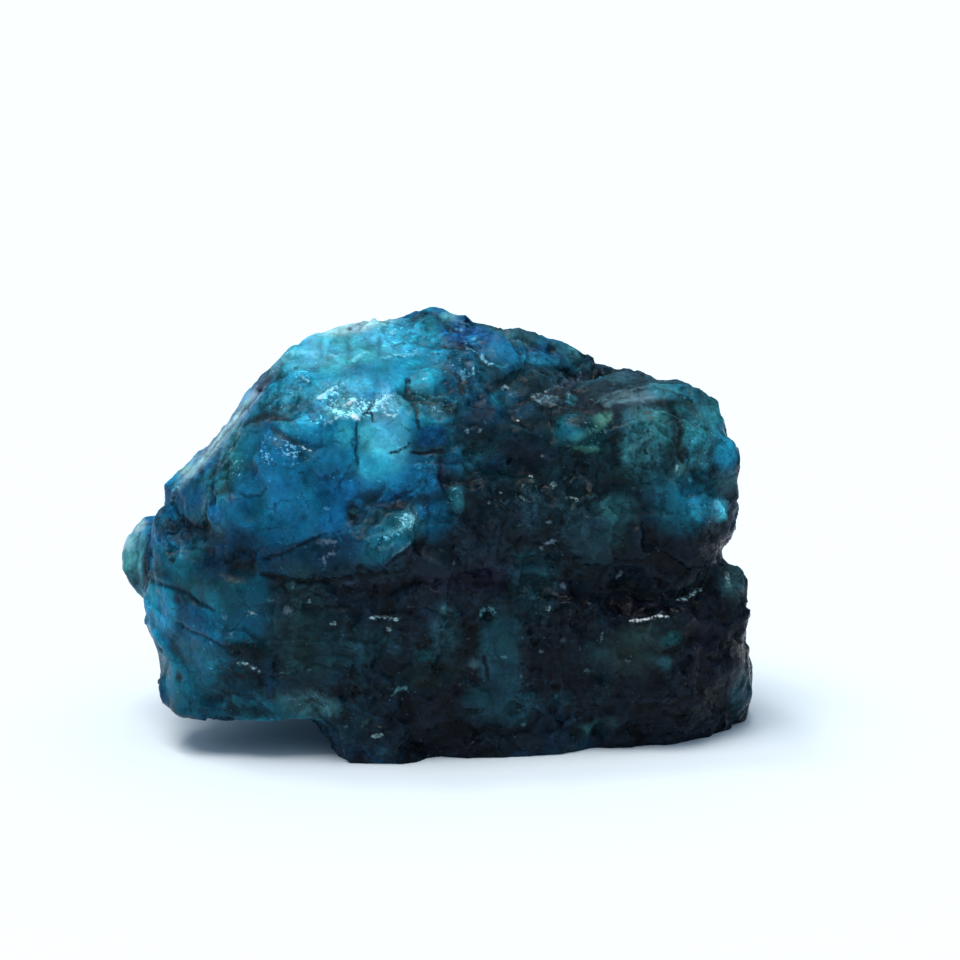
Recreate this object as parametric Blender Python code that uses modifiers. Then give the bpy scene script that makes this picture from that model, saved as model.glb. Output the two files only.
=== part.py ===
"""Rough aquamarine: one broken, blocky lump of beryl that stands on the flat break under its right-hand side.

The lump is a few angular masses grown together. Each mass is the convex hull of its own corners, and the
masses are melted into one skin. Flat breaks, swells, dents and knobs are then worked into that skin, the
skin is thinned to a faceted solid, and its foot is cut off flat. Corners are in millimetres: X along the
lump, Y towards its back, Z up from the surface it stands on. A little of each foot reaches below that
surface, and the cut takes it off.
"""

import bmesh
import bpy
from mathutils import Matrix, Vector, noise

# Driving dimensions of the finished lump, in metres.
LENGTH = 0.0425
DEPTH = 0.0240
HEIGHT = 0.0282

# The stone's colour, and how its skin is worked.
STONE_NAME = "aquamarine_rough"
STONE_COLOUR = (0.035, 0.20, 0.27, 1.0)
STONE_ROUGHNESS = 0.42
SKIN_CELL = 0.5  # mm between points of the working skin
SOFTENING_PASSES = 2
FACET_TRIANGLES = 7600

# Corners of the angular masses.
MASSES = {
    # the upper left, with the long slope, the peak and the sloping crown
    "crown": [
        (-18.4, -3.5, 17.2),
        (-11.0, -4.2, 24.4),
        (-9.5, -3.8, 26.6),
        (-8.3, -3.4, 27.7),
        (-5.8, -2.2, 27.7),
        (-3.7, -1.6, 28.6),
        (0.0, -0.5, 28.8),
        (1.4, -0.4, 28.5),
        (3.2, -0.2, 28.4),
        (5.8, -0.2, 28.2),
        (8.3, -0.2, 27.6),
        (9.9, 0.0, 26.9),
        (11.5, 0.0, 24.8),
        # the edge where the sloping crown turns down into the front
        (-12.3, -8.4, 20.6),
        (-8.6, -9.5, 22.5),
        (-3.5, -9.5, 23.1),
        (0.2, -9.2, 22.8),
        (6.5, -8.0, 22.0),
        # the front, down to the dark undercut
        (-13.2, -10.3, 12.6),
        (-12.7, -10.2, 17.4),
        (-9.0, -11.3, 13.0),
        (-5.0, -11.7, 12.8),
        (-1.5, -11.7, 13.4),
        (4.0, -10.8, 14.0),
        (9.0, -9.2, 16.5),
        (9.0, -8.2, 20.0),
        (9.0, -7.5, 11.0),
        (-8.0, -6.0, 9.0),
        (5.0, -6.0, 9.0),
        # the back
        (-12.0, 3.0, 21.0),
        (-6.0, 5.5, 23.8),
        (4.0, 6.5, 23.2),
        (9.0, 5.0, 22.4),
        (-15.0, 5.0, 14.0),
        (-8.0, 10.0, 13.0),
        (4.0, 11.2, 12.0),
    ],
    # the upper right, with a shelf on top
    "right_shelf": [
        (8.0, 0.2, 25.6),
        (12.1, 0.0, 24.6),
        (14.4, 0.0, 24.2),
        (17.1, 0.0, 24.1),
        (18.4, -2.0, 23.9),
        (19.2, -3.1, 22.2),
        (20.2, -4.1, 20.8),
        (20.8, -4.6, 19.0),
        (20.7, -4.4, 14.9),
        (9.0, -7.6, 22.3),
        (13.5, -6.8, 22.6),
        (16.4, -5.8, 22.4),
        (18.6, -6.0, 20.4),
        (8.0, -9.4, 16.0),
        (12.0, -8.9, 14.0),
        (18.2, -7.0, 15.8),
        (9.0, -8.3, 11.2),
        (17.6, -6.6, 11.3),
        (18.7, -4.4, 12.3),
        (19.0, 1.0, 11.9),
        (20.4, 3.0, 15.5),
        (19.4, 5.6, 14.0),
        (19.0, 3.6, 20.0),
        (12.0, 6.6, 21.4),
        (16.6, 8.6, 12.0),
        (10.0, 10.0, 12.0),
        (7.0, -6.5, 8.0),
        (17.0, -5.0, 8.0),
        (18.2, -3.4, 8.8),
        (16.0, 5.0, 8.0),
    ],
    # the lower middle, which stands on the floor
    "belly": [
        (-9.0, -10.7, 12.4),
        (-3.0, -11.2, 12.4),
        (4.0, -10.5, 11.8),
        (11.0, -8.5, 11.0),
        (-7.9, -10.8, 6.0),
        (-7.2, -9.0, 2.6),
        (-3.5, -11.1, 5.0),
        (3.0, -10.5, 6.0),
        (9.5, -9.0, 7.0),
        (12.0, -8.1, 6.0),
        (-6.0, -9.1, 0.0),
        (-5.1, -10.0, 0.0),
        (-3.4, -10.3, 0.0),
        (3.0, -9.4, 0.0),
        (6.4, -8.5, 0.0),
        (11.0, -6.5, 0.0),
        (-5.6, -8.8, -1.2),
        (-3.5, -10.0, -1.2),
        (6.4, -8.6, -1.2),
        (11.0, -6.3, -1.2),
        (14.0, 9.0, -1.2),
        (6.0, 10.0, -1.2),
        (-4.0, 8.0, -1.2),
        (-6.8, 2.0, -1.2),
        (-8.0, 9.6, 12.0),
        (0.0, 11.8, 11.0),
        (8.0, 11.2, 10.0),
        (13.0, 9.6, 9.0),
    ],
    # the lower right block, with a straight top edge
    "right_foot": [
        (10.5, -8.5, 9.3),
        (14.5, -8.2, 9.4),
        (17.2, -7.9, 9.6),
        (19.4, -6.0, 9.9),
        (20.4, -4.3, 10.6),
        (20.8, 3.0, 9.8),
        (18.8, 7.4, 9.5),
        (13.0, 10.0, 9.2),
        (21.2, -4.4, 8.7),
        (12.0, -8.7, 4.0),
        (17.6, -7.9, 4.0),
        (20.9, -5.4, 5.3),
        (21.7, -3.6, 3.9),
        (21.6, 2.6, 5.0),
        (12.0, -6.2, 0.0),
        (15.2, -5.8, 0.0),
        (17.3, -5.4, 0.0),
        (19.5, -2.5, 0.0),
        (22.0, 0.1, 0.0),
        (12.0, -6.1, -1.2),
        (17.2, -5.3, -1.2),
        (21.9, 0.1, -1.2),
        (21.0, 4.2, -1.2),
        (19.4, 7.8, -1.2),
        (12.0, 9.6, -1.2),
    ],
    # the lower left block, which hangs clear of the floor
    "left_block": [
        (-15.9, -9.2, 3.0),
        (-17.4, -7.2, 3.0),
        (-17.0, -4.8, 3.2),
        (-16.8, 0.0, 4.2),
        (-15.4, 4.6, 4.2),
        (-7.0, 4.0, 3.0),
        (-7.0, -9.9, 2.7),
        (-12.0, -10.2, 2.8),
        (-16.9, -5.0, 4.8),
        (-17.0, -4.5, 6.4),
        (-18.1, -4.2, 8.2),
        (-19.7, -3.0, 9.5),
        (-18.2, -6.4, 9.4),
        (-17.6, -7.6, 13.6),
        (-18.8, -3.6, 16.0),
        (-14.0, -10.6, 8.4),
        (-9.0, -11.2, 8.4),
        (-8.0, -11.1, 12.0),
        (-13.2, -10.4, 13.0),
        (-13.0, 3.0, 15.0),
        (-17.4, 4.4, 11.0),
    ],
    # the small slanting ledge in the middle of the front
    "ledge": [
        (-4.9, -12.0, 13.2),
        (-4.2, -12.3, 15.0),
        (-2.8, -12.1, 17.0),
        (-0.8, -11.5, 17.8),
        (-0.6, -11.7, 15.8),
        (-2.6, -12.5, 14.2),
        (-5.0, -10.0, 13.0),
        (-0.6, -10.0, 18.0),
        (-0.6, -10.0, 13.5),
        (-5.0, -10.0, 17.0),
    ],
}

# Rounded lumps that stand out of the masses: centre and half sizes.
KNOBS = {
    "left_knob": ((-18.8, -0.2, 11.4), (2.3, 3.0, 2.7)),
    "right_upper_knob": ((20.0, -3.9, 10.8), (1.4, 1.8, 1.3)),
    "right_lower_knob": ((20.5, -3.7, 8.7), (1.2, 1.6, 1.0)),
    "blue_lump": ((4.6, -2.6, 25.4), (1.7, 1.5, 1.5)),
}

# Local push (+) or dent (-) of the skin: centre, reach, and how far it moves.
SWELLS_AND_DENTS = {
    "long_slope_hollow": ((-14.6, -4.5, 20.0), 4.6, -1.0),
    "upper_slope_dent": ((-11.8, -4.2, 23.6), 3.2, -1.0),
    "crest_step": ((11.0, 0.0, 24.8), 2.2, 0.6),
    "shelf_top_dent": ((15.0, 0.0, 24.2), 3.0, -0.4),
    "right_waist": ((20.4, -4.1, 13.0), 2.2, -0.9),
    "undercut_left": ((-6.0, -11.4, 11.6), 3.2, -0.7),
    "undercut_right": ((4.0, -10.6, 11.0), 3.4, -0.7),
    "shelf_undercut": ((13.5, -8.4, 11.0), 3.0, -0.7),
    "front_pocket": ((6.6, -9.6, 19.4), 3.0, -0.8),
    "right_corner": ((21.4, 0.2, 1.2), 3.4, 0.5),
    "left_flank_dent": ((-18.8, -4.2, 6.2), 3.4, -1.0),
    "foot_notch": ((0.6, -9.4, 0.6), 2.6, -0.5),
    "left_face_pit": ((-17.6, -6.8, 5.6), 1.6, -0.5),
    "back_hollow": ((-3.0, 10.0, 16.0), 5.0, -1.0),
    "back_ridge": ((8.0, 9.0, 15.0), 4.0, 0.8),
    "left_back_hollow": ((-14.5, 5.0, 9.0), 4.0, -0.8),
}

# Flat breaks at three sizes: cell width, and how far neighbouring breaks stand from each other.
BREAKS = ((7.0, 0.50), (3.2, 0.30), (1.7, 0.08))
BREAK_SEED = Vector((3.7, 11.2, 5.9))
TILT_SEED = 7.3
LIFT_SEED = 5.1
LIFT_SHARE = 0.6  # how much of a break's step is a plain lift, next to its tilt


def clear_scene():
    """Leave an empty scene."""
    for old in list(bpy.data.objects):
        bpy.data.objects.remove(old, do_unlink=True)


def hull_of(corners):
    """A closed convex mass around its corners."""
    shell = bmesh.new()
    for corner in corners:
        shell.verts.new(corner)
    made = bmesh.ops.convex_hull(shell, input=shell.verts)
    unused = made["geom_interior"] + made["geom_unused"]
    inside = {item for item in unused if isinstance(item, bmesh.types.BMVert)}
    bmesh.ops.delete(shell, geom=list(inside), context="VERTS")
    bmesh.ops.recalc_face_normals(shell, faces=shell.faces)
    mesh = bpy.data.meshes.new("mass")
    shell.to_mesh(mesh)
    shell.free()
    return mesh


def knob_of(centre, half_sizes):
    """A closed rounded lump."""
    ball = bmesh.new()
    bmesh.ops.create_icosphere(ball, subdivisions=3, radius=1.0)
    ball.transform(Matrix.Translation(centre) @ Matrix.Diagonal((*half_sizes, 1.0)))
    mesh = bpy.data.meshes.new("knob")
    ball.to_mesh(mesh)
    ball.free()
    return mesh


def grown_together():
    """All masses and knobs in one object, still overlapping."""
    lump = bmesh.new()
    for corners in MASSES.values():
        lump.from_mesh(hull_of(corners))
    for centre, half_sizes in KNOBS.values():
        lump.from_mesh(knob_of(centre, half_sizes))
    mesh = bpy.data.meshes.new(STONE_NAME)
    lump.to_mesh(mesh)
    lump.free()
    return bpy.data.objects.new(STONE_NAME, mesh)


def settle(stone):
    """Replace the object's mesh by what its modifiers make of it."""
    bpy.context.view_layer.update()
    graph = bpy.context.evaluated_depsgraph_get()
    mesh = bpy.data.meshes.new_from_object(stone.evaluated_get(graph))
    stone.modifiers.clear()
    stone.data = mesh


def melt_skin(stone):
    """Melt the overlapping masses into one skin of even cells, with slightly worn edges."""
    melt = stone.modifiers.new("melt", "REMESH")
    melt.mode = "VOXEL"
    melt.voxel_size = SKIN_CELL
    wear = stone.modifiers.new("wear", "SMOOTH")
    wear.iterations = SOFTENING_PASSES
    settle(stone)


def break_height(point, width, step):
    """How far the flat break at a point stands out: each cell is one tilted plane."""
    centre = noise.voronoi((point + BREAK_SEED) / width)[1][0]
    tilt = noise.cell_vector(centre * TILT_SEED)
    lift = noise.cell(centre * LIFT_SEED)
    across = (point + BREAK_SEED) / width - centre
    return step * (tilt.dot(across) + LIFT_SHARE * lift)


def push_at(point, centre, reach, push):
    """How far a swell or dent moves the skin at a point: most at its centre, nothing past its reach."""
    near = max(0.0, 1.0 - (point - Vector(centre)).length / reach)
    return push * near * near * (3.0 - 2.0 * near)


def work_skin(stone):
    """Push the swells, sink the dents, and break the skin into flat facets."""
    skin = bmesh.new()
    skin.from_mesh(stone.data)
    skin.normal_update()
    moves = []
    for vert in skin.verts:
        move = sum(break_height(vert.co, width, step) for width, step in BREAKS)
        move += sum(push_at(vert.co, *local) for local in SWELLS_AND_DENTS.values())
        moves.append(vert.normal * move)
    for vert, move in zip(skin.verts, moves):
        vert.co += move
    skin.to_mesh(stone.data)
    skin.free()


def thin_to_facets(stone):
    """Thin the skin to the wanted number of facets."""
    triangles = sum(len(face.vertices) - 2 for face in stone.data.polygons)
    thin = stone.modifiers.new("thin", "DECIMATE")
    thin.ratio = FACET_TRIANGLES / triangles
    settle(stone)


def cut_foot(stone):
    """Cut the foot off flat at the surface it stands on, and close the cut."""
    lump = bmesh.new()
    lump.from_mesh(stone.data)
    everything = lump.verts[:] + lump.edges[:] + lump.faces[:]
    floor = {"plane_co": (0, 0, 0), "plane_no": (0, 0, 1)}
    cut = bmesh.ops.bisect_plane(lump, geom=everything, clear_inner=True, **floor)
    rim = [item for item in cut["geom_cut"] if isinstance(item, bmesh.types.BMEdge)]
    bmesh.ops.holes_fill(lump, edges=rim)
    bmesh.ops.triangulate(lump, faces=lump.faces)
    bmesh.ops.recalc_face_normals(lump, faces=lump.faces)
    lump.to_mesh(stone.data)
    lump.free()


def bring_to_size(stone):
    """Give the lump its driving dimensions, centred, with its foot at Z 0."""
    points = [vert.co for vert in stone.data.vertices]
    low = Vector(min(point[axis] for point in points) for axis in range(3))
    high = Vector(max(point[axis] for point in points) for axis in range(3))
    span = high - low
    middle = (low + high) / 2
    scale = Matrix.Diagonal((LENGTH / span.x, DEPTH / span.y, HEIGHT / span.z, 1.0))
    stone.data.transform(scale @ Matrix.Translation((-middle.x, -middle.y, -low.z)))


def stone_material():
    """Plain blue-green stone."""
    material = bpy.data.materials.new("aquamarine")
    material.use_nodes = True
    shader = material.node_tree.nodes["Principled BSDF"]
    shader.inputs["Base Color"].default_value = STONE_COLOUR
    shader.inputs["Roughness"].default_value = STONE_ROUGHNESS
    shader.inputs["Metallic"].default_value = 0.0
    return material


def build():
    """Build the lump in a collection of its own."""
    clear_scene()
    collection = bpy.data.collections.new("rough_aquamarine")
    bpy.context.scene.collection.children.link(collection)
    stone = grown_together()
    collection.objects.link(stone)
    melt_skin(stone)
    work_skin(stone)
    thin_to_facets(stone)
    cut_foot(stone)
    bring_to_size(stone)
    stone.data.materials.clear()
    stone.data.materials.append(stone_material())


build()
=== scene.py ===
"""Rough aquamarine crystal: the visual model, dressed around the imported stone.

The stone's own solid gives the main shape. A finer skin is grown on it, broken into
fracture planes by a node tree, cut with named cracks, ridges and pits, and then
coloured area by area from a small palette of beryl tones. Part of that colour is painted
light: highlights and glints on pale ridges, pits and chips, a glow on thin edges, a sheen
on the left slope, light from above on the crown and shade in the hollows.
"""

import logging
import math
from dataclasses import dataclass, field
from enum import Enum

import bmesh
import bpy
import numpy as np
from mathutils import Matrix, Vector
from mathutils.bvhtree import BVHTree
from mathutils.kdtree import KDTree


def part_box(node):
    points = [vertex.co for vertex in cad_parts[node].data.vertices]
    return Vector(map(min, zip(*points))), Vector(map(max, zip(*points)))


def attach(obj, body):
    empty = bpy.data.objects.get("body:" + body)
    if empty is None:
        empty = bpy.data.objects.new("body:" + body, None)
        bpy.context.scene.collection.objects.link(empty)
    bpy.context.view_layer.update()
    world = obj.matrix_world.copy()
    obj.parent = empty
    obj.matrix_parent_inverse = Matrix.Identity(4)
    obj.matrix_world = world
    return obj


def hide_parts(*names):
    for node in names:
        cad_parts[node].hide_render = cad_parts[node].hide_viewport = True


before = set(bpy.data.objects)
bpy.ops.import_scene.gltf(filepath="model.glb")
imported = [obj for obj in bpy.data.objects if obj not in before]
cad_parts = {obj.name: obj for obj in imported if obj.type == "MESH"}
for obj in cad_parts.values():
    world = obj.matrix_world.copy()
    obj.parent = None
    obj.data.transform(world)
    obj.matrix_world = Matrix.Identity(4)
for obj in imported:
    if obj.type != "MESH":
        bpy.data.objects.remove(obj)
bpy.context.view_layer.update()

LOG = logging.getLogger("rough_aquamarine")
MM = 0.001
STONE_NODE = "aquamarine_rough"
Triple = tuple[float, float, float]
Span = tuple[float, float]
Pixel = tuple[float, float]
Ramp = tuple[float, float, float, float]
Socket = bpy.types.NodeSocket


class Tint(Enum):
    """The stone's tones, as display values from 0 to 255. PEARL, FROST and ICE mostly serve as painted
    highlights and glints.
    """

    PEARL = (236, 246, 248)
    FROST = (188, 228, 233)
    ICE = (125, 202, 220)
    CYAN = (80, 179, 203)
    TURQUOISE = (37, 154, 187)
    SKY = (23, 125, 155)
    AZURE = (19, 96, 130)
    BLUE = (10, 81, 119)
    DEEP = (14, 73, 121)
    DUSK_BLUE = (9, 59, 91)
    NAVY = (9, 44, 65)
    TEAL = (21, 85, 104)
    DUSK_TEAL = (22, 54, 64)
    SEA_GREEN = (35, 100, 111)
    LEAF = (67, 123, 109)
    GREEN = (37, 81, 88)
    MOSS = (23, 45, 49)
    OLIVE = (25, 37, 37)
    UMBER = (19, 23, 30)
    INK = (15, 23, 31)
    SLATE = (34, 62, 74)
    PLUM = (38, 35, 57)
    LAVENDER = (123, 145, 163)
    SEAFOAM = (88, 142, 150)
    MIST = (97, 130, 142)

    def linear(self) -> np.ndarray:
        """Gives the tone as scene-linear red, green and blue."""
        share = np.array(self.value, float) / 255.0
        return np.where(share <= 0.04045, share / 12.92, ((share + 0.055) / 1.055) ** 2.4)


@dataclass(frozen=True)
class Area:
    """A soft-edged oval of the front view, in the frame's pixels.

    Its share is how strongly it acts. A corner of 2 makes it an oval, and more makes it squarer.
    """

    u: float
    v: float
    wide: float
    high: float
    turn: float = 0.0
    share: float = 1.0
    edge: float = 0.45
    corner: float = 2.0


@dataclass(frozen=True)
class Sparks(Area):
    """An area of small chips that get more relief and painted glints. Its share is how dense they are."""

    edge: float = 0.6


@dataclass(frozen=True)
class Patch:
    """An area of one tone, whose level makes the tone darker or brighter."""

    tint: Tint
    u: float
    v: float
    wide: float
    high: float
    turn: float = 0.0
    share: float = 0.85
    level: float = 1.0
    edge: float = 0.45
    corner: float = 2.0


@dataclass(frozen=True)
class Line:
    """A crack, step or ridge that follows points of the front view. A ridge's depth is negative; most pale
    ridges are painted glints.
    """

    tint: Tint
    path: tuple[Pixel, ...]
    half_width: float
    depth: float
    share: float = 0.9
    soft: float = 1.0


@dataclass(frozen=True)
class Pit:
    """A round hollow, or a bump where its depth is negative. Most pale bumps are painted glints."""

    tint: Tint
    u: float
    v: float
    radius: float
    depth: float
    share: float = 0.9
    soft: float = 1.0


@dataclass(frozen=True)
class Nudge:
    """A gentle swell of the outline, or a dip where its push is negative."""

    u: float
    v: float
    radius: float
    push: float


PATCHES: dict[str, Patch] = {
    # dark ground of the lower right half
    "ground_right": Patch(Tint.INK, 640, 590, 150, 170, 0, 0.92, 0.80),
    "ground_middle": Patch(Tint.INK, 450, 640, 190, 120, 0, 0.85, 0.90),
    "ground_waist": Patch(Tint.INK, 470, 540, 110, 60, 10, 0.85, 1.40),
    "upper_right_dusk": Patch(Tint.SLATE, 590, 440, 150, 90, 0, 0.8, 0.30),
    # crown, whose pale tones partly stand for painted light from above and through the stone
    "crown_wash": Patch(Tint.TURQUOISE, 366, 372, 92, 66, 0, 0.95, 0.65),
    "crown_top": Patch(Tint.CYAN, 352, 345, 66, 26, 8, 0.9, 0.70),
    # painted glow along the crown's thin edge
    "crown_edge_glow": Patch(Tint.FROST, 352, 326, 42, 8, 12, 0.8, 0.50),
    "crown_green_spot": Patch(Tint.GREEN, 420, 318, 9, 4, 0, 0.8, 0.15),
    "slope_head_green": Patch(Tint.MOSS, 280, 378, 5, 9, 10, 0.8, 0.15),
    "crown_right": Patch(Tint.SKY, 412, 350, 30, 34, 0, 0.7, 1.20),
    "crown_left_glow": Patch(Tint.CYAN, 306, 350, 22, 22, 0, 0.7, 0.80),
    "crown_blue_spot": Patch(Tint.BLUE, 362, 371, 18, 11, 0, 0.75, 0.85),
    "crown_shelf": Patch(Tint.CYAN, 335, 392, 42, 12, 10, 0.6, 0.80),
    "crown_right_top": Patch(Tint.CYAN, 388, 349, 16, 7, 5, 0.6, 0.80),
    "crown_right_low": Patch(Tint.TEAL, 388, 376, 24, 8, 0, 0.65, 1.70),
    "peak_green": Patch(Tint.SEAFOAM, 449, 317, 8, 5, 0, 0.6, 2.25),
    "peak_lavender": Patch(Tint.MIST, 463, 325, 8, 4, -30, 0.5, 2.95),
    "peak_blue": Patch(Tint.DEEP, 470, 337, 30, 18, -25, 0.9, 1.05),
    "blue_lump": Patch(Tint.AZURE, 501, 351, 19, 14, -10, 0.85, 1.00),
    "peak_spot": Patch(Tint.SKY, 474, 341, 8, 5, -30, 0.65, 0.95),
    "lump_cleft": Patch(Tint.DEEP, 485, 345, 4, 6, -20, 0.7, 0.35),
    "peak_teal": Patch(Tint.TEAL, 535, 360, 16, 10, 0, 0.8, 1.25),
    "peak_slate": Patch(Tint.SLATE, 518, 337, 16, 9, -10, 0.8, 2.05),
    "far_teal": Patch(Tint.GREEN, 563, 348, 19, 8, -20, 0.75, 1.15),
    "grey_ridges": Patch(Tint.SLATE, 560, 381, 42, 12, -12, 0.75, 0.60),
    "grey_ridges_pink": Patch(Tint.PLUM, 566, 384, 24, 4, 30, 0.35, 1.75),
    "blue_under_peak": Patch(Tint.BLUE, 458, 372, 22, 24, 0, 0.75, 0.45),
    "deep_teal_field": Patch(Tint.BLUE, 494, 406, 36, 15, 0, 0.75, 0.30),
    "teal_spot": Patch(Tint.TEAL, 502, 398, 12, 9, 0, 0.7, 1.15),
    "dark_chips": Patch(Tint.DUSK_TEAL, 424, 400, 27, 16, -20, 0.85, 1.40),
    "chips_dark": Patch(Tint.DUSK_TEAL, 450, 408, 11, 8, 0, 0.8, 0.50),
    "chips_upper_dark": Patch(Tint.DUSK_TEAL, 465, 386, 7, 8, 0, 0.7, 0.80),
    # highlight row and the bright block
    "bright_row": Patch(Tint.ICE, 350, 409, 30, 10, 5, 0.75, 0.55),
    "bright_row_right": Patch(Tint.ICE, 387, 402, 14, 12, 0, 0.6, 0.75),
    "left_chips": Patch(Tint.TEAL, 292, 405, 22, 26, 30, 0.7, 0.85),
    "row_foot": Patch(Tint.TURQUOISE, 316, 426, 26, 13, 0, 0.75, 0.90),
    "dusk_chips": Patch(Tint.MOSS, 268, 418, 24, 8, 15, 0.6, 1.45),
    "block": Patch(Tint.CYAN, 384, 447, 25, 34, 0, 0.95, 0.50, 0.13, 5.0),
    "block_heart": Patch(Tint.CYAN, 386, 446, 13, 14, 0, 0.8, 0.95),
    "block_top": Patch(Tint.CYAN, 376, 433, 15, 10, 0, 0.65, 1.45),
    "block_low": Patch(Tint.TURQUOISE, 376, 465, 20, 13, 0, 0.7, 0.75),
    "block_right": Patch(Tint.AZURE, 418, 476, 22, 22, 0, 0.8, 0.85),
    "block_below": Patch(Tint.AZURE, 396, 484, 40, 12, 0, 0.75, 1.20),
    "blue_left_of_block": Patch(Tint.AZURE, 335, 450, 26, 26, 0, 0.85, 1.00),
    "green_left_of_block": Patch(Tint.SEA_GREEN, 345, 436, 8, 13, 0, 0.45, 2.15),
    "wine_edge": Patch(Tint.PLUM, 441, 474, 4, 14, 0, 0.9, 0.85),
    "steel_right_of_wine": Patch(Tint.AZURE, 453, 457, 9, 14, 0, 0.7, 0.50),
    "deep_blue_top": Patch(Tint.DEEP, 431, 436, 14, 11, 0, 0.85, 0.70, 0.2, 3.0),
    # sparkling patch and the smooth face
    "sparkle_field": Patch(Tint.AZURE, 276, 452, 42, 24, 0, 0.9, 0.75),
    "sparkle_rim": Patch(Tint.SEA_GREEN, 236, 470, 13, 20, 10, 0.75, 0.55),
    "slope_green": Patch(Tint.GREEN, 232, 440, 12, 22, -30, 0.6, 2.40),
    "face": Patch(Tint.AZURE, 292, 508, 64, 38, 0, 0.95, 0.95, 0.22, 3.0),
    "face_right": Patch(Tint.BLUE, 338, 498, 22, 26, 0, 0.8, 1.10),
    "face_low": Patch(Tint.BLUE, 262, 540, 34, 16, 20, 0.8, 0.30),
    "face_notch": Patch(Tint.OLIVE, 353, 512, 6, 13, 0, 0.9, 0.35),
    "stripe": Patch(Tint.DUSK_BLUE, 393, 498, 22, 5, 20, 0.8, 1.60),
    # turquoise ledge
    "ledge_blue": Patch(Tint.AZURE, 436, 516, 18, 22, 0, 0.85, 0.45),
    "ledge": Patch(Tint.TEAL, 394, 535, 35, 16, 38, 0.9, 1.15),
    "ledge_glow": Patch(Tint.ICE, 409, 520, 14, 7, 48, 0.7, 0.55),
    "ledge_middle": Patch(Tint.TEAL, 390, 538, 10, 6, 40, 0.6, 0.85),
    "ledge_low": Patch(Tint.TEAL, 380, 554, 18, 10, 20, 0.8, 0.55),
    "ledge_top_dusk": Patch(Tint.AZURE, 421, 512, 5, 6, 0, 0.6, 1.70),
    "ledge_green": Patch(Tint.SEA_GREEN, 456, 497, 9, 15, 10, 0.7, 0.70),
    # navy wedge under the face
    "navy_wedge": Patch(Tint.NAVY, 312, 556, 48, 18, 12, 0.92, 1.10, 0.22, 3.0),
    "navy_shadow": Patch(Tint.INK, 335, 582, 70, 7, 0, 0.8, 3.00),
    # left slope and shoulder: the slope's lavender and purple bands are partly a painted sheen, its pale rim
    # a painted reflection
    "slope_band": Patch(Tint.LAVENDER, 222, 422, 70, 9, 50, 0.6, 1.20, 0.7),
    "slope_purple": Patch(Tint.PLUM, 226, 424, 60, 3.2, 52, 0.65, 3.00),
    "slope_rim": Patch(Tint.FROST, 213, 427, 72, 3.5, 50, 0.6, 0.70, 0.7),
    "slope_top": Patch(Tint.SLATE, 266, 378, 14, 9, 45, 0.7, 1.00),
    "shoulder_spot": Patch(Tint.FROST, 187, 471, 9, 5, 0, 0.8, 0.50),
    "shoulder_hole": Patch(Tint.PLUM, 201, 472, 5, 4, 0, 0.8, 0.15),
    "shoulder": Patch(Tint.BLUE, 192, 497, 18, 19, 0, 0.9, 0.45),
    "shoulder_navy": Patch(Tint.NAVY, 170, 490, 7, 9, 0, 0.6, 0.70),
    "shoulder_edge": Patch(Tint.LAVENDER, 161, 508, 4, 14, -10, 0.6, 0.15),
    "shoulder_band": Patch(Tint.NAVY, 192, 530, 44, 13, 0, 0.9, 0.45),
    "cheek_dark": Patch(Tint.NAVY, 213, 562, 16, 15, 0, 0.85, 0.95),
    # left knob and left block; the knob's pale tones, brightest at knob_pale and knob_top, are partly a
    # painted glow of light through it
    "knob": Patch(Tint.SEAFOAM, 132, 558, 16, 36, 0, 0.9, 0.70),
    "knob_pale": Patch(Tint.FROST, 127, 541, 6, 9, 10, 0.45, 0.65),
    "knob_top": Patch(Tint.FROST, 139, 526, 8, 6, 30, 0.65, 0.45),
    "knob_edge": Patch(Tint.NAVY, 147, 562, 6, 26, -4, 0.9, 0.25),
    "knob_low": Patch(Tint.TEAL, 131, 581, 10, 12, -20, 0.8, 0.30),
    "knob_dusk": Patch(Tint.NAVY, 150, 576, 5, 8, 0, 0.7, 0.35),
    "knob_shade": Patch(Tint.TEAL, 140, 546, 4, 8, 0, 0.5, 0.50),
    "upper_left": Patch(Tint.TEAL, 174, 565, 22, 22, 0, 0.85, 0.70),
    "upper_left_dusk": Patch(Tint.NAVY, 161, 578, 12, 8, -20, 0.6, 0.20),
    "upper_left_seam": Patch(Tint.NAVY, 176, 590, 9, 6, -20, 0.6, 0.50),
    "bright_left": Patch(Tint.SKY, 158, 612, 20, 28, -15, 0.92, 0.95),
    "mid_left": Patch(Tint.AZURE, 205, 628, 26, 20, 0, 0.85, 0.60),
    "low_left": Patch(Tint.TEAL, 190, 666, 36, 32, 0, 0.9, 0.85),
    "left_wall": Patch(Tint.SKY, 160, 668, 9, 34, 8, 0.85, 0.60),
    "low_left_edge": Patch(Tint.TEAL, 196, 708, 34, 11, -8, 0.9, 0.65),
    "left_sill_dark": Patch(Tint.NAVY, 248, 713, 22, 7, 0, 0.8, 0.20),
    "left_inner_teal": Patch(Tint.TEAL, 252, 604, 26, 32, 0, 0.85, 0.55),
    "left_inner_blue": Patch(Tint.AZURE, 246, 625, 18, 10, 0, 0.6, 0.60),
    "umber_hole": Patch(Tint.UMBER, 246, 651, 26, 9, -8, 0.85, 0.15),
    "slate_low": Patch(Tint.NAVY, 240, 682, 24, 20, 0, 0.75, 0.15),
    "moss_side": Patch(Tint.MOSS, 302, 620, 30, 66, 8, 0.85, 0.85),
    "moss_low": Patch(Tint.SEAFOAM, 310, 704, 28, 13, -8, 0.8, 0.50),
    "mid_dusk": Patch(Tint.DUSK_TEAL, 354, 648, 44, 24, 0, 0.7, 0.70),
    "mid_grey": Patch(Tint.SLATE, 356, 648, 9, 6, 0, 0.6, 1.05),
    # middle bottom
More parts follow.
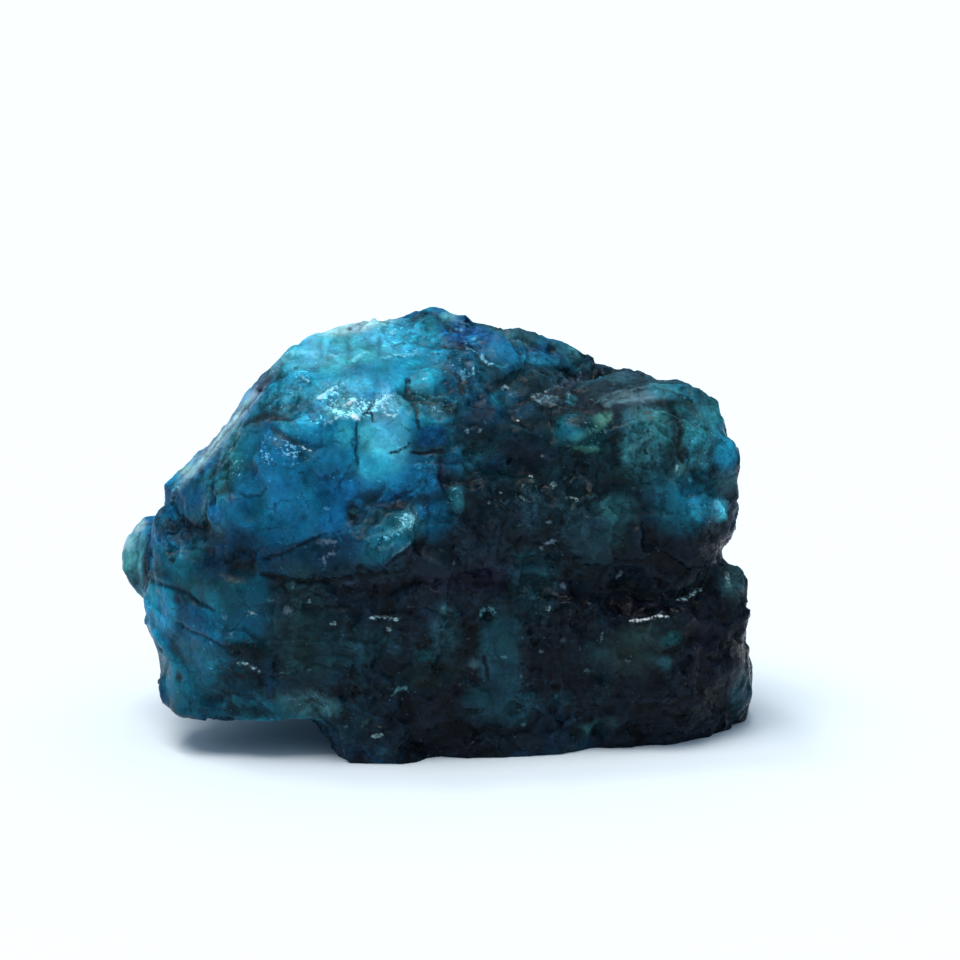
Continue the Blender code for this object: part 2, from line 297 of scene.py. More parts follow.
    "steel_triangle": Patch(Tint.SLATE, 444, 634, 14, 28, 0, 0.8, 1.00),
    "triangle_tip": Patch(Tint.SEAFOAM, 444, 611, 3.5, 5, 0, 0.5, 0.70),
    "triangle_foot": Patch(Tint.SEA_GREEN, 425, 655, 11, 6, 0, 0.7, 0.45),
    "column": Patch(Tint.DUSK_TEAL, 500, 660, 20, 50, 0, 0.85, 1.15, 0.25, 4.0),
    "column_foot": Patch(Tint.DUSK_TEAL, 502, 702, 36, 22, 0, 0.8, 1.05),
    "column_grey": Patch(Tint.MIST, 474, 664, 6, 5, 0, 0.7, 0.40),
    "rust_spot": Patch(Tint.UMBER, 455, 689, 14, 8, 0, 0.7, 0.45),
    "middle_teal": Patch(Tint.DUSK_TEAL, 531, 578, 24, 32, 0, 0.7, 1.00),
    "middle_blue": Patch(Tint.SLATE, 530, 508, 13, 24, 0, 0.7, 0.65),
    "plum_middle": Patch(Tint.PLUM, 532, 452, 34, 16, 0, 0.35, 0.45),
    "plum_low": Patch(Tint.PLUM, 470, 580, 42, 14, 0, 0.55, 0.60),
    "brown_low": Patch(Tint.OLIVE, 432, 674, 36, 12, 0, 0.6, 0.70),
    "plum_foot": Patch(Tint.PLUM, 455, 745, 44, 8, 0, 0.6, 0.20),
    "slate_right": Patch(Tint.SLATE, 586, 532, 15, 26, 0, 0.6, 0.75),
    "foot_front": Patch(Tint.INK, 395, 735, 50, 18, 0, 0.8, 1.10),
    "foot_left_dark": Patch(Tint.INK, 380, 722, 18, 10, 0, 0.6, 0.70),
    # shell patch, right shelf and right block
    "shell": Patch(Tint.SEA_GREEN, 582, 432, 33, 19, 0, 0.85, 0.35),
    "shell_blue": Patch(Tint.TEAL, 564, 431, 12, 9, 0, 0.5, 1.35),
    "shell_streak": Patch(Tint.LEAF, 602, 419, 9, 6, 40, 0.55, 1.35),
    "shell_bend": Patch(Tint.SEA_GREEN, 577, 436, 9, 5, 10, 0.5, 1.90),
    "shell_rim": Patch(Tint.LEAF, 588, 449, 15, 3, 0, 0.40, 0.90),
    "shell_hole": Patch(Tint.INK, 582, 423, 7, 5, 0, 0.8, 1.40),
    "chips_gap": Patch(Tint.INK, 560, 391, 10, 5, 0, 0.7, 1.40),
    "chips_pale": Patch(Tint.SEA_GREEN, 571, 399, 5, 7, 0, 0.55, 1.40),
    "chips_pale_left": Patch(Tint.MIST, 548, 399, 10, 6, 0, 0.4, 0.80),
    "chips_pale_right": Patch(Tint.MIST, 605, 402, 4, 4, 0, 0.6, 1.00),
    "shelf_back": Patch(Tint.SLATE, 634, 378, 28, 9, -5, 0.8, 0.95),
    "shelf_top": Patch(Tint.MIST, 632, 397, 30, 6, 4, 0.7, 0.85),
    "shelf_shadow": Patch(Tint.MOSS, 660, 411, 9, 5, 0, 0.7, 0.30),
    "shelf_right": Patch(Tint.TEAL, 686, 389, 24, 11, -15, 0.8, 0.70),
    "shelf_corner": Patch(Tint.CYAN, 662, 390, 15, 8, -10, 0.7, 0.40),
    "green_block": Patch(Tint.GREEN, 645, 435, 25, 29, 0, 0.9, 1.25, 0.2, 4.0),
    "green_facet": Patch(Tint.SEA_GREEN, 645, 418, 9, 12, -20, 0.55, 0.55),
    "shell_side_dark": Patch(Tint.DUSK_TEAL, 619, 440, 6, 14, 0, 0.7, 0.50),
    "moss_crack": Patch(Tint.MOSS, 680, 438, 7, 27, 0, 0.8, 2.00),
    "right_teal": Patch(Tint.SEA_GREEN, 709, 425, 24, 24, 0, 0.85, 1.00),
    "right_teal_left": Patch(Tint.SEA_GREEN, 691, 434, 6, 18, 0, 0.6, 1.45),
    "right_teal_head": Patch(Tint.SEA_GREEN, 681, 410, 7, 6, 0, 0.6, 0.90),
    "right_teal_low": Patch(Tint.SEA_GREEN, 699, 462, 14, 8, 0, 0.6, 1.30),
    "right_blue": Patch(Tint.TURQUOISE, 725, 446, 12, 25, 0, 0.8, 0.55),
    "right_notch": Patch(Tint.MOSS, 727, 482, 13, 13, 0, 0.85, 3.00),
    "cyan_blob": Patch(Tint.CYAN, 719, 509, 9, 11, 0, 0.85, 1.25),
    "right_low_teal": Patch(Tint.TEAL, 702, 505, 22, 28, 0, 0.85, 0.30),
    "right_mid": Patch(Tint.TEAL, 682, 500, 32, 30, 0, 0.8, 0.95),
    "right_mid_heart": Patch(Tint.AZURE, 690, 496, 13, 11, 0, 0.6, 0.75),
    "right_dusk": Patch(Tint.GREEN, 650, 476, 40, 14, 0, 0.6, 0.40),
    "right_dusk_pale": Patch(Tint.SEAFOAM, 680, 470, 9, 6, 0, 0.6, 0.45),
    "grey_lumps": Patch(Tint.GREEN, 616, 509, 19, 14, 0, 0.75, 1.35),
    "teal_dusk": Patch(Tint.SLATE, 594, 534, 28, 34, 0, 0.8, 0.70),
    "dark_edge": Patch(Tint.INK, 734, 520, 7, 26, 0, 0.9, 3.00),
    # lower right
    "upper_knob": Patch(Tint.MOSS, 735, 580, 15, 18, 0, 0.8, 1.55),
    "knob_mint": Patch(Tint.SEAFOAM, 728, 584, 6, 7, 0, 0.6, 0.15),
    "grey_field": Patch(Tint.OLIVE, 632, 650, 30, 26, 0, 0.85, 1.40),
    "green_spot": Patch(Tint.GREEN, 671, 640, 12, 7, 20, 0.75, 0.85),
    "grey_spot": Patch(Tint.SLATE, 664, 663, 8, 7, 0, 0.75, 1.20),
    "plum_right": Patch(Tint.PLUM, 712, 640, 24, 44, 0, 0.55, 0.25),
    "plum_upper": Patch(Tint.PLUM, 624, 606, 32, 8, 0, 0.6, 0.30),
    "olive_right": Patch(Tint.OLIVE, 690, 583, 20, 8, 20, 0.6, 0.60),
    "olive_low": Patch(Tint.OLIVE, 712, 694, 16, 5, -20, 0.6, 0.15),
    "rust_edge": Patch(Tint.UMBER, 739, 652, 6, 10, 0, 0.7, 0.15),
    "field_left": Patch(Tint.SLATE, 598, 664, 14, 40, 0, 0.6, 0.40),
    "field_low": Patch(Tint.DUSK_TEAL, 560, 700, 10, 8, 0, 0.6, 0.90),
    "foot_green": Patch(Tint.OLIVE, 585, 732, 20, 6, 15, 0.6, 0.40),
    "teal_corner": Patch(Tint.DUSK_TEAL, 742, 694, 13, 23, 0, 0.85, 1.20),
    "low_green": Patch(Tint.MOSS, 598, 725, 20, 8, 10, 0.6, 2.20),
}

LINES: dict[str, Line] = {
    "crown_fork": Line(Tint.INK, ((375, 400), (371, 406), (368, 412), (372, 414), (374, 423)), 0.09, 0.22),
    "chip_seam_a": Line(
        Tint.INK, ((406, 380), (408, 388), (405, 394), (411, 400), (416, 408), (417, 420), (419, 430)),
        0.15, 0.20, 0.8, 2.0),
    "chip_seam_b": Line(Tint.MOSS, ((412, 399), (424, 403), (436, 401), (447, 396)), 0.20, 0.15, 0.65, 2.5),
    "chip_seam_c": Line(Tint.INK, ((398, 392), (404, 397), (411, 401)), 0.12, 0.15, 0.7, 2.0),
    "chip_seam_d": Line(Tint.INK, ((455, 372), (460, 381), (461, 390), (465, 399)), 0.16, 0.18, 0.65, 2.5),
    "peak_seam": Line(Tint.NAVY, ((444, 320), (449, 327), (455, 331), (462, 334)), 0.14, 0.12, 0.65, 2.0),
    "dusk_seam_a": Line(
        Tint.OLIVE, ((240, 425), (252, 420), (266, 416), (280, 418), (291, 421)), 0.26, 0.12, 0.7, 2.5),
    "dusk_seam_b": Line(Tint.OLIVE, ((272, 428), (282, 434), (290, 440), (300, 444)), 0.22, 0.12, 0.7, 2.5),
    "slope_dusk": Line(Tint.PLUM, ((258, 392), (264, 384), (272, 378)), 0.22, 0.08, 0.6, 2.5),
    "crown_fork_arm": Line(Tint.INK, ((369, 410), (362, 416)), 0.07, 0.15),
    "block_left": Line(Tint.NAVY, ((356, 421), (357, 437), (356, 452), (359, 470)), 0.09, 0.25, 0.8),
    "block_cross": Line(Tint.INK, ((389, 453), (398, 451), (406, 447), (410, 441)), 0.09, 0.2),
    "block_step": Line(Tint.INK, ((411, 452), (424, 453), (440, 450), (448, 452)), 0.12, 0.3),
    "wine": Line(Tint.NAVY, ((440, 456), (440, 474), (444, 488), (449, 502)), 0.12, 0.3, 0.6, 2.0),
    "stripe_cut": Line(Tint.NAVY, ((372, 506), (392, 500), (406, 492), (413, 491)), 0.14, 0.25, 0.8, 1.5),
    "sparkle_under": Line(Tint.NAVY, ((238, 492), (247, 496), (260, 496), (268, 486)), 0.09, 0.15, 0.7, 2.0),
    "shoulder_cut": Line(Tint.NAVY, ((213, 482), (212, 493), (215, 506)), 0.16, 0.35, 0.9, 1.5),
    "shoulder_curve": Line(Tint.INK, ((184, 516), (192, 524), (203, 528), (212, 523)), 0.11, 0.22, 0.8, 1.5),
    "left_diagonal": Line(
        Tint.NAVY, ((150, 580), (166, 586), (183, 591), (197, 601), (215, 611)), 0.16, 0.35, 0.65, 2.8),
    "left_lower": Line(Tint.NAVY, ((176, 622), (190, 630), (208, 638), (227, 648)), 0.10, 0.25, 0.65, 2.2),
    "inner_arc": Line(
        Tint.TEAL, ((229, 631), (237, 622), (245, 613), (254, 609), (261, 612)), 0.12, 0.2, 0.9, 1.3),
    "inner_side": Line(Tint.TEAL, ((265, 608), (267, 616), (272, 624)), 0.12, 0.2, 0.8, 1.5),
    "wedge_top": Line(Tint.INK, ((262, 559), (285, 552), (305, 542), (327, 532)), 0.10, 0.3, 0.6, 1.5),
    "wedge_foot": Line(
        Tint.INK, ((262, 574), (300, 581), (330, 580), (360, 576), (386, 572)), 0.20, 0.45, 0.8, 1.8),
    "green_cut": Line(Tint.OLIVE, ((676, 412), (681, 430), (678, 448), (683, 464)), 0.16, 0.4, 0.6, 2.0),
    "column_cut": Line(Tint.INK, ((483, 654), (487, 668), (488, 681)), 0.13, 0.4, 0.8, 1.5),
    "crown_seam_a": Line(Tint.TEAL, ((321, 337), (321, 358)), 0.20, 0.06, 0.28, 4.0),
    "crown_seam_b": Line(Tint.TEAL, ((349, 338), (348, 361)), 0.20, 0.06, 0.32, 4.0),
    "crown_seam_c": Line(Tint.BLUE, ((381, 336), (379, 345), (380, 358)), 0.18, 0.08, 0.45, 3.0),
    "crown_band_a": Line(Tint.ICE, ((291, 353), (305, 352), (318, 355)), 0.18, -0.08, 0.7, 2.5),
    "crown_band_b": Line(Tint.ICE, ((352, 361), (360, 355), (369, 351)), 0.15, -0.10, 0.8, 2.0),
    "crown_band_c": Line(Tint.ICE, ((384, 358), (397, 354), (412, 355), (419, 348)), 0.14, -0.08, 0.7, 2.0),
    "crown_band_d": Line(Tint.ICE, ((326, 352), (334, 356), (342, 358)), 0.12, -0.06, 0.6, 2.0),
    # painted highlights on the crown
    "crown_diag": Line(Tint.FROST, ((317, 399), (325, 394), (331, 389), (338, 387)), 0.15, -0.15, 0.85, 1.5),
    "crown_glint_a": Line(Tint.FROST, ((391, 334), (394, 331), (398, 328)), 0.13, -0.10, 0.8, 1.8),
    "crown_glint_b": Line(Tint.FROST, ((302, 376), (305, 379), (309, 382)), 0.11, -0.10, 0.85, 1.3),
    "crown_glint_c": Line(Tint.FROST, ((422, 379), (426, 378), (431, 378)), 0.09, -0.08, 0.8, 1.3),
    "crown_glint_d": Line(Tint.FROST, ((434, 351), (437, 354)), 0.10, -0.08, 0.8, 1.3),
    # the row under the crown: painted highlights
    "row_streak_a": Line(Tint.FROST, ((324, 424), (334, 419), (346, 413)), 0.10, -0.10, 0.7, 1.8),
    "row_streak_b": Line(Tint.PEARL, ((352, 414), (356, 418), (361, 418)), 0.20, -0.12, 0.75, 1.8),
    "row_streak_c": Line(Tint.FROST, ((378, 405), (385, 399), (391, 393)), 0.15, -0.12, 0.75, 1.8),
    "row_streak_d": Line(Tint.FROST, ((384, 407), (387, 415), (394, 416), (400, 408)), 0.08, -0.08, 0.6, 1.5),
    "row_streak_e": Line(Tint.PEARL, ((343, 407), (350, 402), (356, 398)), 0.13, -0.10, 0.6, 1.8),
    "deep_blue_arc": Line(Tint.SKY, ((428, 425), (433, 421), (441, 422)), 0.09, -0.08, 0.8, 1.8),
    "peak_dark": Line(Tint.GREEN, ((446, 321), (450, 328), (452, 336)), 0.20, 0.20, 0.7, 1.8),
    "peak_glint_a": Line(Tint.ICE, ((454, 328), (459, 330), (465, 329)), 0.10, -0.10, 0.6, 1.8),
    "peak_glint_b": Line(Tint.ICE, ((472, 340), (476, 337)), 0.12, -0.08, 0.6, 1.8),
    "chip_glint_a": Line(Tint.ICE, ((461, 369), (464, 378), (468, 378)), 0.11, -0.10, 0.7, 1.5),
    "chip_glint_b": Line(Tint.ICE, ((473, 367), (473, 378)), 0.09, -0.10, 0.7, 1.5),
    "chip_glint_c": Line(Tint.FROST, ((501, 388), (506, 387), (511, 389)), 0.11, -0.10, 0.6, 1.6),
    "chip_glint_d": Line(Tint.FROST, ((445, 371), (449, 373)), 0.09, -0.08, 0.7, 1.3),
    # painted glints on the grey chips
    "grey_chip_a": Line(Tint.FROST, ((531, 396), (537, 400), (543, 403)), 0.09, -0.12, 0.55, 1.5),
    "grey_chip_b": Line(Tint.FROST, ((543, 392), (547, 391)), 0.08, -0.10, 0.5, 1.5),
    "grey_chip_c": Line(Tint.FROST, ((549, 398), (556, 397), (559, 400)), 0.08, -0.10, 0.5, 1.5),
    "grey_chip_d": Line(Tint.FROST, ((567, 396), (572, 392)), 0.10, -0.10, 0.45, 1.8),
    "ridge_pink": Line(Tint.MIST, ((546, 392), (560, 385), (573, 377)), 0.12, -0.12, 0.22, 2.5),
    "slope_curl_a": Line(
        Tint.LAVENDER, ((240, 420), (232, 431), (226, 441), (222, 455), (217, 468)), 0.08, -0.12, 0.7, 1.3),
    "slope_curl_b": Line(
        Tint.LAVENDER, ((232, 444), (231, 455), (224, 464), (215, 470)), 0.07, -0.1, 0.7, 1.3),
    "slope_rib_a": Line(
        Tint.LAVENDER, ((262, 380), (244, 402), (214, 437), (196, 460)), 0.12, -0.12, 0.6, 2.0),
    "slope_rib_b": Line(Tint.PLUM, ((262, 390), (243, 412), (222, 437), (203, 460)), 0.14, 0.12, 0.55, 2.0),
    "lump_ridge_a": Line(Tint.ICE, ((465, 342), (468, 348), (477, 353)), 0.11, -0.12, 0.65, 1.6),
    "lump_ridge_b": Line(Tint.ICE, ((480, 354), (485, 361), (490, 365), (494, 362)), 0.12, -0.15, 0.75, 1.5),
    "lump_rim": Line(Tint.SKY, ((495, 366), (505, 367), (512, 363), (514, 357)), 0.10, -0.10, 0.6, 2.0),
    "shelf_streak_a": Line(
        Tint.MIST, ((612, 392), (630, 390), (648, 386), (662, 381)), 0.10, -0.08, 0.5, 2.0),
    "shelf_streak_b": Line(Tint.MIST, ((618, 402), (636, 400), (656, 396)), 0.10, -0.08, 0.45, 2.0),
    "shelf_seam": Line(Tint.INK, ((608, 386), (622, 385), (640, 383), (652, 379)), 0.10, 0.15, 0.5, 2.0),
    "shell_line": Line(
        Tint.LEAF, ((612, 410), (608, 420), (601, 428), (591, 432), (582, 435), (575, 439)), 0.12, -0.12,
        0.5, 2.5),
    "shell_lip": Line(Tint.LEAF, ((572, 447), (586, 451), (601, 447)), 0.10, -0.12, 0.35, 2.5),
    "shell_inner": Line(
        Tint.SEA_GREEN, ((556, 421), (566, 424), (574, 430), (580, 434)), 0.10, -0.1, 0.8, 2.0),
    "facet_pale": Line(Tint.SEAFOAM, ((630, 449), (643, 441), (657, 430)), 0.14, -0.1, 0.35, 2.5),
    "long_glint": Line(Tint.PEARL, ((630, 621), (645, 619), (660, 616), (671, 617)), 0.11, -0.25, 0.8, 1.2),
    "diagonal_glint": Line(
        Tint.FROST, ((677, 600), (686, 598), (695, 592), (703, 588)), 0.12, -0.2, 0.6, 1.5),
    # painted glints
    "mid_arc": Line(Tint.FROST, ((368, 619), (378, 617), (391, 617), (399, 622)), 0.10, -0.18, 0.7, 1.3),
    "mid_dash": Line(Tint.FROST, ((330, 622), (338, 625)), 0.11, -0.12, 0.6, 1.5),
    "foot_ring": Line(Tint.SEAFOAM, ((392, 696), (396, 690), (405, 688), (409, 692)), 0.10, -0.14, 0.55, 1.8),
    "wedge_arc": Line(Tint.LAVENDER, ((325, 565), (324, 559), (329, 554), (337, 554)), 0.09, -0.1, 0.5, 2.0),
    "wedge_streak": Line(Tint.LAVENDER, ((317, 543), (327, 541), (339, 542)), 0.11, -0.08, 0.5, 2.0),
    "ring_arc": Line(
        Tint.SEAFOAM, ((481, 619), (481, 611), (486, 608), (493, 610), (497, 617)), 0.09, -0.2, 0.7, 1.3),
    # painted glint
    "field_streak": Line(Tint.FROST, ((300, 446), (307, 449), (314, 453)), 0.08, -0.1, 0.75, 1.3),
    "left_glint_row": Line(
        Tint.FROST, ((238, 663), (249, 664), (256, 669), (262, 675)), 0.09, -0.15, 0.6, 1.4),
    "inner_arc_glint": Line(Tint.FROST, ((247, 615), (253, 613), (258, 616)), 0.07, -0.12, 0.7, 1.3),
    # ledge streaks: pale streaks, partly painted glints
    "ledge_streak_a": Line(
        Tint.SEAFOAM, ((365, 540), (374, 535), (386, 534), (394, 528)), 0.09, -0.10, 0.5, 1.8),
    "ledge_streak_b": Line(Tint.ICE, ((386, 540), (394, 533), (404, 525)), 0.08, -0.12, 0.45, 1.8),
    "ledge_streak_c": Line(Tint.ICE, ((400, 530), (408, 524), (413, 516), (408, 512)), 0.13, -0.14, 0.6, 2.0),
    "ledge_streak_f": Line(Tint.FROST, ((404, 521), (409, 517), (412, 512)), 0.07, -0.10, 0.6, 1.3),
    "ledge_streak_d": Line(Tint.SEAFOAM, ((378, 549), (388, 547), (396, 541)), 0.10, -0.08, 0.6, 1.8),
    "ledge_streak_e": Line(Tint.SEAFOAM, ((392, 555), (403, 549), (412, 540)), 0.09, -0.08, 0.55, 1.8),
    "ledge_rim": Line(Tint.INK, ((386, 566), (394, 558), (404, 551), (418, 540)), 0.12, 0.25, 0.7, 1.8),
    "middle_band": Line(Tint.UMBER, ((508, 538), (524, 541), (545, 546)), 0.22, 0.2, 0.5, 2.0),
    # painted glints
    "middle_row": Line(Tint.FROST, ((519, 497), (525, 500), (530, 503)), 0.08, -0.10, 0.45, 1.5),
    "middle_tail": Line(Tint.FROST, ((566, 498), (573, 497), (580, 500)), 0.09, -0.12, 0.6, 1.3),
    "pink_dash_a": Line(Tint.LAVENDER, ((547, 522), (554, 522)), 0.09, -0.10, 0.55, 1.5),
    "pink_dash_b": Line(Tint.LAVENDER, ((545, 544), (551, 541), (558, 541)), 0.10, -0.12, 0.6, 1.5),
    "pink_dash_c": Line(Tint.LAVENDER, ((538, 547), (544, 550)), 0.09, -0.10, 0.55, 1.5),
    # painted glint
    "right_dash": Line(Tint.FROST, ((602, 634), (602, 642)), 0.10, -0.10, 0.45, 1.8),
    "upper_dash": Line(Tint.LAVENDER, ((617, 578), (624, 569)), 0.10, -0.10, 0.35, 2.0),
    "knob_glint": Line(Tint.FROST, ((727, 571), (728, 580), (729, 588)), 0.13, -0.15, 0.45, 2.0),
    # painted glint
    "foot_dash": Line(Tint.FROST, ((372, 737), (378, 736), (383, 733)), 0.11, -0.12, 0.5, 1.6),
    "foot_streak": Line(Tint.LEAF, ((362, 727), (367, 721), (373, 718)), 0.10, -0.08, 0.25, 2.0),
    "knob_seam": Line(Tint.TEAL, ((139, 533), (136, 545), (138, 556), (135, 570)), 0.10, 0.12, 0.45, 3.0),
}

PITS: dict[str, Pit] = {
    "block_hole": Pit(Tint.INK, 408, 381, 0.20, 0.3, 0.8, 1.5),
    "crown_rim_spot": Pit(Tint.GREEN, 350, 329, 0.16, 0.15, 0.8, 1.5),
    "crown_left_spot": Pit(Tint.GREEN, 296, 368, 0.18, 0.15, 0.7, 1.8),
    "face_mottle_a": Pit(Tint.NAVY, 327, 492, 0.26, 0.1, 0.4, 2.5),
    "face_mottle_b": Pit(Tint.NAVY, 271, 517, 0.26, 0.1, 0.4, 2.5),
    "face_mottle_c": Pit(Tint.NAVY, 304, 517, 0.22, 0.1, 0.4, 2.5),
    "face_notch_hole": Pit(Tint.GREEN, 353, 511, 0.26, 0.2, 0.7, 2.0),
    "upper_left_pit": Pit(Tint.INK, 172, 560, 0.18, 0.3, 0.8, 1.5),
    "bright_left_spot": Pit(Tint.AZURE, 160, 607, 0.22, 0.12, 0.7, 2.0),
    "left_pit_a": Pit(Tint.PLUM, 177, 599, 0.30, 0.3, 0.5, 2.5),
    "left_pit_b": Pit(Tint.TEAL, 180, 624, 0.24, 0.25, 0.5, 2.5),
    "left_pit_c": Pit(Tint.OLIVE, 161, 649, 0.20, 0.2, 0.45, 2.0),
    "left_big_pit": Pit(Tint.OLIVE, 179, 677, 0.36, 0.28, 0.65, 2.8),
    "left_pale": Pit(Tint.LAVENDER, 225, 617, 0.18, -0.1, 0.28, 2.5),
    "ring_hole": Pit(Tint.INK, 489, 617, 0.36, 0.5, 0.8, 1.5),
    "far_hollow": Pit(Tint.INK, 551, 349, 0.32, 0.5, 0.8, 1.8),
    "notch_glint": Pit(Tint.SEAFOAM, 355, 519, 0.10, -0.06, 0.4, 1.5),
    # from here to low_chip_b: painted glints
    "cyan_blob_top": Pit(Tint.ICE, 717, 505, 0.26, -0.15, 0.5, 3.0),
    "brightest_chip": Pit(Tint.PEARL, 531, 476, 0.13, -0.15, 0.9, 1.2),
    "middle_chip_a": Pit(Tint.FROST, 553, 485, 0.18, -0.12, 0.4, 2.0),
    "middle_chip_b": Pit(Tint.FROST, 489, 502, 0.11, -0.10, 0.7, 1.3),
    "middle_chip_c": Pit(Tint.FROST, 501, 493, 0.11, -0.10, 0.5, 1.5),
    "middle_chip_d": Pit(Tint.FROST, 542, 455, 0.12, -0.10, 0.45, 1.6),
    "teal_chip": Pit(Tint.PEARL, 518, 420, 0.10, -0.10, 0.8, 1.3),
    "dark_chip_a": Pit(Tint.FROST, 480, 430, 0.12, -0.10, 0.6, 1.4),
    "dark_chip_b": Pit(Tint.FROST, 467, 431, 0.14, -0.10, 0.4, 1.8),
    "low_chip": Pit(Tint.SEAFOAM, 524, 724, 0.15, -0.15, 0.5, 2.0),
    "low_chip_b": Pit(Tint.FROST, 548, 609, 0.17, -0.15, 0.45, 1.8),
    "low_chip_c": Pit(Tint.LAVENDER, 541, 651, 0.13, -0.12, 0.35, 2.0),
    "grey_oval": Pit(Tint.SLATE, 474, 664, 0.30, -0.15, 0.45, 3.0),
    "pink_oval": Pit(Tint.LAVENDER, 563, 586, 0.20, -0.1, 0.30, 2.0),
    "pink_oval_b": Pit(Tint.LAVENDER, 564, 640, 0.20, -0.1, 0.15, 2.5),
    "grey_pink": Pit(Tint.LAVENDER, 288, 610, 0.28, -0.1, 0.35, 2.5),
    "moss_glint": Pit(Tint.FROST, 309, 601, 0.13, -0.12, 0.6, 1.4),
    # painted glints
    "right_chip": Pit(Tint.FROST, 677, 469, 0.18, -0.15, 0.6, 1.8),
    "mid_chip": Pit(Tint.FROST, 389, 629, 0.18, -0.12, 0.4, 2.0),
    "left_face_glint": Pit(Tint.FROST, 287, 543, 0.10, -0.06, 0.6, 1.4),
    "field_spot": Pit(Tint.SEAFOAM, 292, 587, 0.16, -0.10, 0.4, 2.0),
    "knob_blotch_a": Pit(Tint.FROST, 129, 549, 0.16, -0.06, 0.35, 3.0),
    "knob_blotch_b": Pit(Tint.TEAL, 133, 566, 0.20, 0.12, 0.35, 3.0),
    "knob_blotch_c": Pit(Tint.TEAL, 127, 571, 0.14, 0.10, 0.30, 2.5),
}

# areas of small chips, which get more relief and painted glints
SPARK_FIELDS: dict[str, Sparks] = {
    "bright_row": Sparks(350, 408, 38, 13, 5, 0.86),
    "row_right": Sparks(387, 402, 14, 12, 0, 0.65),
    "row_low": Sparks(312, 419, 16, 7, 0, 0.65),
    "row_diagonal": Sparks(330, 393, 17, 6, 38, 0.75),
    "crown_left": Sparks(302, 372, 15, 14, 0, 0.5),
    "crown_rim": Sparks(398, 336, 28, 12, 10, 0.35),
    "field": Sparks(278, 450, 34, 17, 0, 0.66),
    "field_rim": Sparks(236, 472, 11, 18, 0, 0.5),
    "chips": Sparks(286, 402, 22, 20, 30, 0.35),
    "ledge": Sparks(402, 526, 32, 10, 40, 0.8),
    "ledge_low": Sparks(374, 546, 14, 8, 30, 0.45),
    "peak": Sparks(462, 364, 26, 22, 0, 0.4),
    "middle": Sparks(542, 398, 22, 8, 0, 0.5),
    "right_cluster": Sparks(600, 402, 14, 7, 0, 0.35),
    "dark_chips": Sparks(430, 400, 26, 14, -10, 0.45),
    "under_field": Sparks(478, 426, 34, 9, 0, 0.3),
    "shell": Sparks(588, 430, 26, 16, 20, 0.4),
    "middle_low": Sparks(540, 486, 36, 16, 0, 0.3),
    "row_546": Sparks(548, 546, 14, 5, 20, 0.35),
    "ledge_green": Sparks(456, 498, 10, 17, 0, 0.5),
    "right_block": Sparks(702, 440, 26, 44, 0, 0.25),
    "left_low": Sparks(302, 702, 26, 11, 0, 0.4),
    "moss": Sparks(312, 610, 28, 30, 0, 0.2),
    "foot": Sparks(398, 694, 18, 9, 0, 0.35),
    "lower_right": Sparks(640, 640, 50, 34, 0, 0.14),
}

NUDGES: dict[str, Nudge] = {
    "crown_left": Nudge(306, 338, 3.0, 0.15),
    "slope_upper": Nudge(256, 386, 1.7, 0.66),
    "slope_head": Nudge(279, 358, 1.6, -0.42),
    "knob_crest": Nudge(140, 523, 1.5, 0.50),
    "ridge_saddle": Nudge(603, 366, 1.8, 0.25),
    "peak_step": Nudge(466, 316, 1.5, -0.55),
    "crown_middle": Nudge(343, 326, 2.2, -0.26),
    "slope_middle": Nudge(236, 412, 3.0, -0.10),
    "knob_side": Nudge(143, 603, 1.7, 0.50),
    "knob": Nudge(126, 578, 1.8, 0.30),
    "left_lower": Nudge(155, 655, 3.0, -0.30),
    "left_bottom": Nudge(202, 718, 2.0, -0.40),
    "left_tooth": Nudge(144, 622, 0.9, -0.12),
    "left_foot": Nudge(168, 706, 1.8, 0.30),
    "knob_shelf": Nudge(750, 611, 1.4, 0.25),
    "right_recess": Nudge(737, 514, 1.6, 0.15),
    "foot_step": Nudge(320, 728, 2.2, -0.28),
    "peak_side": Nudge(498, 326, 2.6, 0.22),
    "far_ridge": Nudge(581, 351, 2.2, -0.35),
    "ridge_fall": Nudge(592, 355, 0.9, -0.35),
    "shelf_back": Nudge(635, 370, 2.2, 0.35),
    "shelf_end": Nudge(669, 378, 2.0, -0.20),
    "right_upper": Nudge(737, 448, 2.4, 0.25),
    "right_middle": Nudge(724, 545, 1.8, 0.25),
    "right_edge": Nudge(749, 645, 2.4, -0.25),
    "right_corner": Nudge(748, 705, 3.2, 0.35),
}

CROWN_STREAKS = Area(366, 356, 78, 40, 0, 1.0, 0.4)

CALM_AREAS: dict[str, Area] = {
    "crown": Area(356, 360, 76, 40, 0, 0.88),
    "row": Area(345, 408, 60, 16, 5, 0.5),
    "face": Area(286, 512, 62, 36, 0, 0.96, edge=0.25, corner=3.0),
    "field": Area(290, 450, 62, 28, 0, 0.75),
    "block": Area(385, 448, 30, 36, 0, 0.95, edge=0.25, corner=4.0),
    "left_block": Area(180, 645, 50, 70, 0, 0.80),
    "left_upper": Area(185, 572, 40, 24, 0, 0.7),
    "left_inner": Area(240, 600, 30, 30, 0, 0.8),
    "knob": Area(132, 558, 22, 42, 0, 0.5),
    "shoulder": Area(192, 500, 20, 20, 0, 0.8),
    "slope": Area(220, 424, 76, 14, 50, 0.7),
    "wedge": Area(316, 556, 50, 18, 12, 0.85, edge=0.3),
    "ledge": Area(396, 534, 34, 15, 40, 0.6),
    "ledge_blue": Area(436, 514, 16, 24, 0, 0.6),
    "lump": Area(500, 352, 20, 15, 0, 0.85),
    "column": Area(500, 660, 20, 50, 0, 0.7),
    "field_right": Area(632, 650, 34, 30, 0, 0.6),
    "shelf": Area(645, 388, 40, 10, -5, 0.5),
}


